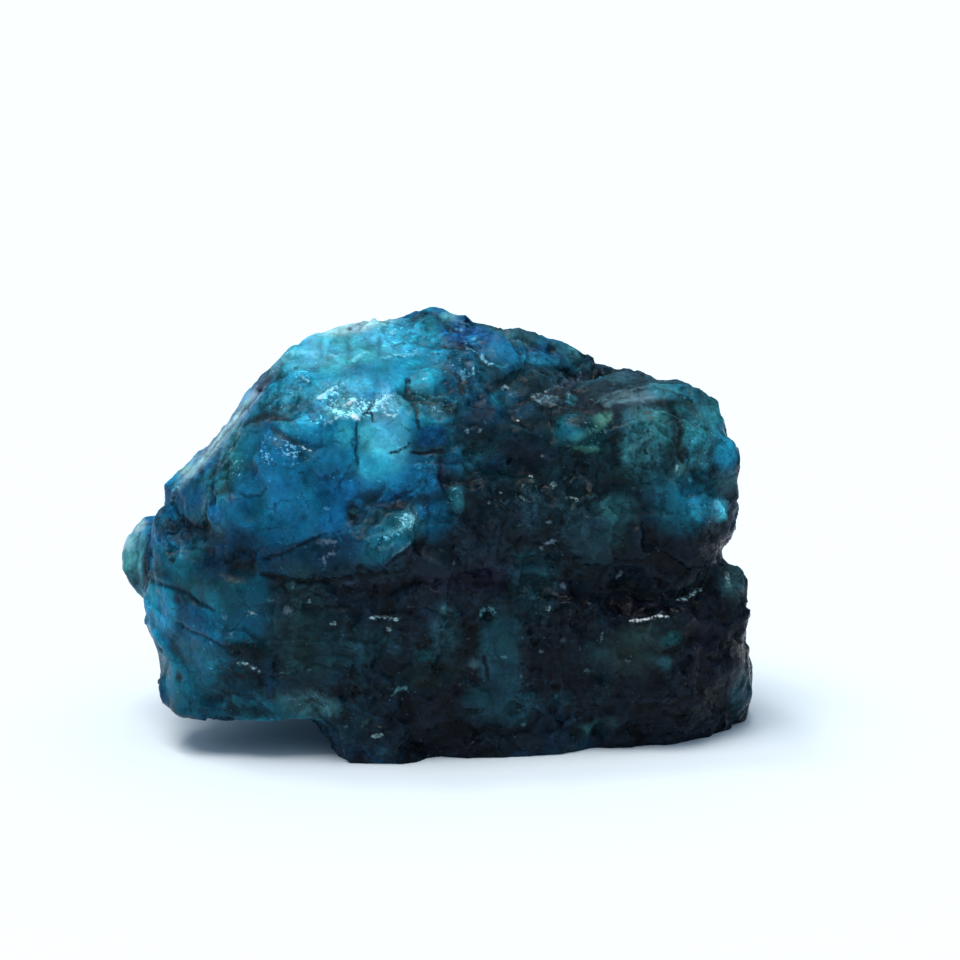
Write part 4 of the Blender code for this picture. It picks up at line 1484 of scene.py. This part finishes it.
    def flecks(self) -> Socket:
        """Adds the mask of the small chips, which carry painted glints.

        Returns:
            The mask's socket.
        """
        look = self.look
        patchy = self.calc("MULTIPLY", self.spark, self.ramp(self.drift["Fac"], *look.fleck_drift))
        big, small = (self.islands(self.strewn, cell, self.calc("MULTIPLY", patchy, cover), soft)
                      for cell, cover, soft in zip(look.fleck_cells, look.fleck_covers, look.fleck_softs))
        return self.calc("MAXIMUM", self.calc("MULTIPLY", big, look.fleck_big_share), small)

    def glinting(self, colour: Socket, fleck: Socket) -> Socket:
        """Paints glints: brightens a colour where the chips are.

        Args:
            colour: The colour without chips.
            fleck: The chips' mask.

        Returns:
            The colour with its painted glints.
        """
        lit = self.scaled(colour, self.look.glint_gain)
        glow = self.scaled(self.look.glint_glow, self.calc("MULTIPLY", self.spark, self.spark))
        white = self.vector("ADD", self.vector("ADD", lit, glow), self.look.glint_floor)
        return self.blend(fleck, colour, white)

    def marked(self, colour: Socket) -> Socket:
        """Paints the named lines and pits over a colour, and breaks the pale ones, which are painted
        highlights and glints, into grains.

        Args:
            colour: The colour without marks.

        Returns:
            The finished colour's socket.
        """
        look, tone = self.look, self.mark["Color"]
        ragged = self.calc("ADD", self.mark["Alpha"], self.ramp(self.fine["Fac"], *look.mark_ragged))
        cover = self.ramp(self.mottle, *look.mark_cover)
        on_mark = self.calc("MULTIPLY", self.ramp(ragged, *look.mark_edge), cover)
        pale = self.ramp(self.vector("DOT_PRODUCT", tone, look.pale_weights), *look.pale_ramp)
        grain = self.noise(self.strewn, look.grain_cell, 1.0)["Fac"]
        broken = self.calc("MULTIPLY", pale, self.ramp(grain, *look.grain_gaps))
        on_mark = self.calc("MULTIPLY", on_mark, self.calc("SUBTRACT", 1.0, broken))
        return self.blend(on_mark, colour, tone)

    def dress(self) -> None:
        """Adds all the layers, the shader and the output."""
        look = self.look
        lean, facet_shade = self.facets()
        fleck = self.flecks()
        colour = self.soiled(self.scaled(self.clouded(), facet_shade))
        colour = self.marked(self.glinting(colour, fleck))
        wear = self.noise(self.place, look.wear_cell)["Fac"]
        rough = self.ramp(wear, *look.roughness)
        for smooth in (self.gloss, fleck):
            rough = self.calc("SUBTRACT", rough, self.calc("MULTIPLY", smooth, look.polish))
        grain, worn, chip = (self.calc("MULTIPLY", mask, share)
                             for mask, share in zip((self.fine["Fac"], wear, fleck), look.bump_parts))
        height = self.calc("ADD", self.calc("ADD", grain, worn), chip)
        bump = self.add("ShaderNodeBump", {
            "Strength": look.bump_strength, "Distance": look.bump_height, "Height": height})
        facing = self.vector("NORMALIZE", self.vector("ADD", bump.outputs[0], lean))
        shader = self.add("ShaderNodeBsdfPrincipled", {
            "Base Color": colour, "Roughness": rough, "IOR": look.refraction, "Normal": facing,
            "Specular IOR Level": look.mirror, "Subsurface Weight": look.cloud_weight,
            "Subsurface Scale": look.cloud_depth, "Subsurface Radius": look.cloud_reach})
        self.add("ShaderNodeOutputMaterial", {"Surface": shader.outputs[0]})


@dataclass(frozen=True)
class HollowShade:
    """How much painted shade hollows of one size get, and how much painted highlight their ridges get."""

    rounds: int
    depth: float
    strength: float


@dataclass
class RoughStone:
    """The stone: its fine skin, its cracks and its colours."""

    view: FrontView
    finish: BerylFinish = field(default_factory=BerylFinish)
    name: str = "aquamarine_stone"
    noise_seed: int = 11
    # the skin
    weld: float = 1e-7
    skin_cell: float = 0.165 * MM
    most_triangles: int = 196_000
    form_rounds: int = 14
    form_smoothing: Span = (0.55, 0.57)
    calm_rounds: int = 90
    calm_pull: float = 0.85
    spark_relief: float = 0.6
    foot_band: float = 0.5 * MM
    foot_trim: float = 0.12 * MM
    carving: float = 0.6
    # the ground colours: brightness at the low left, and its change upwards, to the right and by noise; the
    # rise upwards partly stands for painted light from above
    ground_tints: tuple[Tint, ...] = (
        Tint.INK, Tint.NAVY, Tint.DUSK_TEAL, Tint.TEAL, Tint.BLUE, Tint.SKY, Tint.CYAN)
    ground_level: float = 0.35
    ground_rise: float = 0.5
    ground_fall: float = 0.62
    ground_drift: float = 0.42
    drift: NoiseField = NoiseField(5.0 * MM, 3)
    # the clouds and streaks
    clouds: NoiseField = NoiseField(1.9 * MM, 4, 0.013)
    cloud_strength: float = 0.42
    upright: NoiseField = NoiseField(0.9 * MM, 2, 0.041, (1.0, 1.0, 0.22))
    sideways: NoiseField = NoiseField(1.0 * MM, 2, 0.057, (0.25, 0.6, 1.0))
    sideways_share: float = 0.6
    streak_strength: float = 0.30
    hues: NoiseField = NoiseField(2.4 * MM, 3, -0.027)
    hue_lean: Triple = (-0.12, 0.07, -0.05)
    warmth: NoiseField = NoiseField(3.0 * MM, 3, 0.083)
    warm_lean: Triple = (0.18, 0.0, 0.0)
    least_lean: float = 0.3
    tint_gain: Triple = (0.96, 1.10, 1.10)
    # the painted shade in hollows and highlights on ridges, the gloss, the grit, and the sparks' painted
    # glints
    pale_blue: float = 0.10
    hollows: tuple[HollowShade, ...] = (HollowShade(4, 0.03 * MM, 0.30), HollowShade(24, 0.12 * MM, 0.30))
    ridge_highlight_gain: float = 0.4
    ridge_gloss: float = 0.5
    grit: NoiseField = NoiseField(3.0 * MM, 2)
    grit_level: float = 0.6
    dark_grit: float = 0.5
    stray_sparks: float = 0.12

    def build(self) -> bpy.types.Object:
        """Builds the whole piece.

        Returns:
            The finished object, at the origin.
        """
        material = self.finish.build()
        piece = self.grow_skin()
        self.settle_form(piece)
        FractureRelief().apply(piece, material)
        self.carve(piece)
        self.fit(piece)
        self.thin(piece)
        self.paint(piece)
        piece.data.materials.clear()
        piece.data.materials.append(material)
        piece.data.shade_smooth()
        return piece

    def grow_skin(self) -> bpy.types.Object:
        """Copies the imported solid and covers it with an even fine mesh.

        Returns:
            The new object.
        """
        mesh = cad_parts[STONE_NODE].data.copy()
        shell = bmesh.new()
        shell.from_mesh(mesh)
        bmesh.ops.remove_doubles(shell, verts=shell.verts, dist=self.weld)
        shell.to_mesh(mesh)
        shell.free()
        for name in [a.name for a in mesh.attributes if not a.is_internal and not a.is_required]:
            mesh.attributes.remove(mesh.attributes[name])
        piece = bpy.data.objects.new(self.name, mesh)
        bpy.context.scene.collection.objects.link(piece)
        remesh = piece.modifiers.new("skin", "REMESH")
        remesh.mode = "VOXEL"
        remesh.voxel_size = self.skin_cell
        bake_modifiers(piece)
        return piece

    def marker(self, piece: bpy.types.Object) -> Marker:
        """Makes the finder for a piece as it is now."""
        tree = BVHTree.FromObject(piece, bpy.context.evaluated_depsgraph_get())
        return Marker(self.view, SkinArrays(piece.data), tree, LatticeNoise(self.noise_seed))

    def calmness(self, marker: Marker) -> np.ndarray:
        """Says how smooth each point's surroundings are.

        Args:
            marker: The finder on the skin.

        Returns:
            One value a point, from 0 for rough to 1 for flat.
        """
        lively = np.ones(marker.skin.count)
        for area in CALM_AREAS.values():
            lively *= 1.0 - area.share * marker.area(area)
        return 1.0 - lively

    def settle_form(self, piece: bpy.types.Object) -> None:
        """Evens out the solid's flat triangles and says how rough each place is.

        Args:
            piece: The object with the fine skin.
        """
        skin = SkinArrays(piece.data)
        skin.points = skin.smoothed(skin.points, self.form_rounds, *self.form_smoothing)
        skin.write()
        marker = self.marker(piece)
        normals = marker.skin.normals()
        calm = self.calmness(marker)
        even = marker.skin.smoothed(marker.skin.points, self.calm_rounds)
        for nudge in NUDGES.values():
            centre, _ = self.view.nearest_hit(marker.tree, nudge.u, nudge.v)
            far = np.linalg.norm(marker.skin.points - np.array(centre), axis=1) / (nudge.radius * MM)
            marker.skin.points += normals * (nudge.push * MM * np.exp(-(far**2)))[:, None]
        marker.skin.points += (even - skin.points) * (self.calm_pull * calm)[:, None]
        marker.skin.write()
        weight = 1.0 - calm
        for area in SPARK_FIELDS.values():
            weight += self.spark_relief * area.share * marker.area(area)
        weight *= smooth_step(marker.skin.points[:, 2] / self.foot_band)
        marker.skin.store(FractureRelief.weight_name, weight)

    def carve(self, piece: bpy.types.Object) -> None:
        """Cuts the named cracks and pits and raises the named ridges.

        Args:
            piece: The object after its relief.
        """
        marker = self.marker(piece)
        normals = marker.skin.normals()
        sunk = np.zeros(marker.skin.count)
        for form in (*LINES.values(), *PITS.values()):
            numbers, inside = marker.mark(form)
            width = (form.half_width if isinstance(form, Line) else form.radius) * MM
            sunk[numbers] += form.depth * self.carving * MM * np.exp(-((1.0 - inside / width) ** 2))
        marker.skin.points -= normals * sunk[:, None]
        marker.skin.write()

    def fit(self, piece: bpy.types.Object) -> None:
        """Keeps the skin inside the solid's box and on its flat foot.

        Args:
            piece: The carved object.
        """
        low, high = (np.array(c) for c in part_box(STONE_NODE))
        skin = SkinArrays(piece.data)
        foot = low[2] + self.foot_trim
        skin.points[:, 2] = np.maximum(skin.points[:, 2], foot) - self.foot_trim
        skin.points[:, 2] *= (high[2] - low[2]) / (high[2] - foot)
        skin.points = np.clip(skin.points, low, high)
        skin.write()

    def thin(self, piece: bpy.types.Object) -> None:
        """Brings the mesh under its triangle limit.

        Args:
            piece: The fitted object.
        """
        piece.data.calc_loop_triangles()
        have = len(piece.data.loop_triangles)
        if have > self.most_triangles:
            thinning = piece.modifiers.new("thin", "DECIMATE")
            thinning.ratio = self.most_triangles / have
            bake_modifiers(piece)

    def ground(self, marker: Marker) -> np.ndarray:
        """Colours the whole stone, brightest at the upper left and darkest at the lower right; the rise
        upwards is partly painted light from above.

        Args:
            marker: The finder on the final skin.

        Returns:
            Linear colours, one row a point.
        """
        points = marker.skin.points
        low, high = points.min(0), points.max(0)
        share = (points - low) / (high - low)
        drift = marker.noise.read(points, self.drift)
        bright = self.ground_level + self.ground_rise * share[:, 2] - self.ground_fall * share[:, 0]
        table = np.array([tint.linear() for tint in self.ground_tints])
        at = np.clip(bright + self.ground_drift * drift, 0.0, 1.0) * (len(table) - 1)
        base = np.minimum(at.astype(int), len(table) - 2)
        part = smooth_step(at - base)[:, None]
        return table[base] * (1 - part) + table[base + 1] * part

    def darkness(self, colour: np.ndarray) -> np.ndarray:
        """Says how dark each colour is, from 0 for pale to 1 for black."""
        return 1.0 - np.clip(colour[:, 2] / self.pale_blue, 0, 1)

    def mottled(self, marker: Marker, colour: np.ndarray, lively: np.ndarray) -> np.ndarray:
        """Clouds the colours, as uneven depth of clear stone does, and streaks the crown.

        Args:
            marker: The finder on the final skin.
            colour: Linear colours, one row a point.
            lively: How rough each point's surface is, from 0 to 1.

        Returns:
            The clouded colours.
        """
        points, noise = marker.skin.points, marker.noise
        strength = self.cloud_strength * (0.5 + 0.5 * lively)
        streaks = noise.read(points, self.upright) + self.sideways_share * noise.read(points, self.sideways)
        streaks *= self.streak_strength * marker.area(CROWN_STREAKS)
        lift = np.exp(strength * noise.read(points, self.clouds) + streaks)[:, None]
        hue = noise.read(points, self.hues)[:, None]
        warm = (noise.read(points, self.warmth) * self.darkness(colour))[:, None]
        lean = 1.0 + hue * np.array(self.hue_lean) + warm * np.array(self.warm_lean)
        return colour * lift * np.maximum(lean, self.least_lean)

    def shaded(self, skin: SkinArrays, colour: np.ndarray) -> tuple[np.ndarray, np.ndarray]:
        """Paints shade into the hollows and highlights onto the ridges.

        Args:
            skin: The final skin.
            colour: Linear colours, one row a point.

        Returns:
            The colours with painted shade and highlights, and how glossy each point is.
        """
        normals = skin.normals()
        gloss = np.zeros(skin.count)
        for size in self.hollows:
            hollow = ((skin.smoothed(skin.points, size.rounds) - skin.points) * normals).sum(1) / size.depth
            # painted shade in the hollows and painted highlights on the ridges
            dark, light = (np.clip(side, 0, 1) * size.strength for side in (hollow, -hollow))
            colour = colour * ((1 - dark) * (1 + self.ridge_highlight_gain * light))[:, None]
            gloss += light * self.ridge_gloss
        return colour, np.clip(gloss, 0, 1)

    def marks(self, marker: Marker, colour: np.ndarray) -> np.ndarray:
        """Colours the named lines and pits.

        Args:
            marker: The finder on the final skin.
            colour: Linear colours, one row a point.

        Returns:
            Each point's mark: its linear colour, and how far inside the mark it lies.
        """
        marks = np.zeros((marker.skin.count, 4))
        for form in (*LINES.values(), *PITS.values()):
            numbers, inside = marker.mark(form)
            level = 0.5 + 0.5 * inside / (marker.reach * form.soft)
            over = level > marks[numbers, 3]
            numbers, level = numbers[over], level[over]
            marks[numbers, :3] = colour[numbers] * (1 - form.share) + form.tint.linear() * form.share
            marks[numbers, 3] = level
        return marks

    def paint(self, piece: bpy.types.Object) -> None:
        """Colours the final skin and keeps the result on it.

        Args:
            piece: The thinned object.
        """
        marker = self.marker(piece)
        skin = marker.skin
        colour = self.ground(marker)
        for area in PATCHES.values():
            weight = (area.share * marker.area(area))[:, None]
            colour = colour * (1 - weight) + area.tint.linear() * area.level * weight
        lively = 1.0 - self.calmness(marker)
        colour = self.mottled(marker, colour, lively) * np.array(self.tint_gain)
        # painted shade in the hollows and painted highlights on the ridges
        colour, gloss = self.shaded(skin, colour)
        # where the chips get painted glints
        spark = np.full(skin.count, self.stray_sparks)
        for area in SPARK_FIELDS.values():
            spark = np.maximum(spark, area.share * marker.area(area))
        rough = smooth_step(self.grit_level + marker.noise.read(skin.points, self.grit)) * lively
        grit = rough * (1.0 + self.dark_grit * self.darkness(colour))
        tint = np.concatenate([colour, np.ones((skin.count, 1))], 1)
        skin.store(self.finish.tint_name, tint, "FLOAT_COLOR")
        skin.store(self.finish.mark_name, self.marks(marker, colour), "FLOAT_COLOR")
        skin.store(self.finish.form_name, np.stack([gloss, grit, spark], 1), "FLOAT_VECTOR")


@dataclass
class Studio:
    """The pale floor, the bright room and the lamps."""

    floor_side: float = 8.0
    floor_tone: Triple = (0.76, 0.84, 0.90)
    floor_roughness: float = 0.9
    floor_mirror: float = 0.1
    backdrop: Triple = (0.95, 1.0, 1.0)
    low_sky: Triple = (0.25, 0.62, 1.0)
    high_sky: Triple = (0.93, 0.99, 1.05)
    sky_base: float = 0.22
    sky_up: float = 0.70
    lamp_tone: Triple = (1.0, 0.95, 0.90)
    lamp_power: float = 2.2
    lamp_spread: float = math.radians(34.0)
    lamp_from: Triple = (-0.22, -0.24, 1.0)
    glint_power: float = 0.42
    glint_spread: float = math.radians(10.0)
    glint_from: Triple = (-0.32, 0.22, 1.0)

    def build(self) -> None:
        """Builds everything around the stone."""
        self.make_floor()
        self.make_room()
        self.make_lamp("top_light", self.lamp_from, self.lamp_spread, self.lamp_power)
        self.make_lamp("glint_light", self.glint_from, self.glint_spread, self.glint_power)
        bpy.context.scene.view_settings.view_transform = "Standard"

    def make_floor(self) -> None:
        """Lays the floor plane."""
        half = self.floor_side / 2
        corners = [(-half, -half, 0), (half, -half, 0), (half, half, 0), (-half, half, 0)]
        mesh = bpy.data.meshes.new("floor")
        mesh.from_pydata(corners, [], [(0, 1, 2, 3)])
        floor = bpy.data.objects.new("floor", mesh)
        bpy.context.scene.collection.objects.link(floor)
        material = bpy.data.materials.new("white_sheet")
        material.use_nodes = True
        shader = material.node_tree.nodes["Principled BSDF"]
        shader.inputs["Base Color"].default_value = (*self.floor_tone, 1.0)
        shader.inputs["Roughness"].default_value = self.floor_roughness
        shader.inputs["Specular IOR Level"].default_value = self.floor_mirror
        mesh.materials.append(material)

    def make_room(self) -> None:
        """Lights the world, brightest from straight above."""
        world = bpy.data.worlds.new("studio")
        world.use_nodes = True
        tree = world.node_tree
        tree.nodes.clear()
        graph = NodeGraph(tree)
        way = graph.add("ShaderNodeTexCoord").outputs["Generated"]
        height = graph.calc("MAXIMUM", graph.add("ShaderNodeSeparateXYZ", {0: way}).outputs[2], 0.0)
        strength = graph.calc("ADD", graph.calc("MULTIPLY", height, self.sky_up), self.sky_base)
        hue = graph.blend(height, self.low_sky, self.high_sky)
        lit = graph.add("ShaderNodeBackground", {"Color": hue, "Strength": strength})
        seen = graph.add("ShaderNodeBackground", {"Color": (*self.backdrop, 1.0), "Strength": 1.0})
        ray = graph.add("ShaderNodeLightPath").outputs["Is Camera Ray"]
        mix = graph.add("ShaderNodeMixShader", {0: ray, 1: lit.outputs[0], 2: seen.outputs[0]})
        graph.add("ShaderNodeOutputWorld", {"Surface": mix.outputs[0]})
        bpy.context.scene.world = world

    def make_lamp(self, name: str, source: Triple, spread: float, power: float) -> None:
        """Hangs one wide soft light far away.

        Args:
            name: The light's name.
            source: The direction that it comes from.
            spread: The angle that it spans, in radians.
            power: Its strength in watts per square metre.
        """
        data = bpy.data.lights.new(name, "SUN")
        data.angle = spread
        data.energy = power
        data.color = self.lamp_tone
        lamp = bpy.data.objects.new(name, data)
        bpy.context.scene.collection.objects.link(lamp)
        lamp.location = Vector(source)
        lamp.rotation_euler = (-Vector(source)).to_track_quat("-Z", "Y").to_euler()


def main() -> None:
    """Builds the camera, the studio and the stone, and reports each."""
    logging.basicConfig(level=logging.INFO, format="%(name)s: %(message)s")
    view = FrontView()
    LOG.info("camera %s", view.make_camera().name)
    Studio().build()
    LOG.info("studio ready")
    stone = RoughStone(view).build()
    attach(stone, "root")
    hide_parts(STONE_NODE)
    LOG.info("%s: %d points, %d faces", stone.name, len(stone.data.vertices), len(stone.data.polygons))


if __name__ == "__main__":
    main()
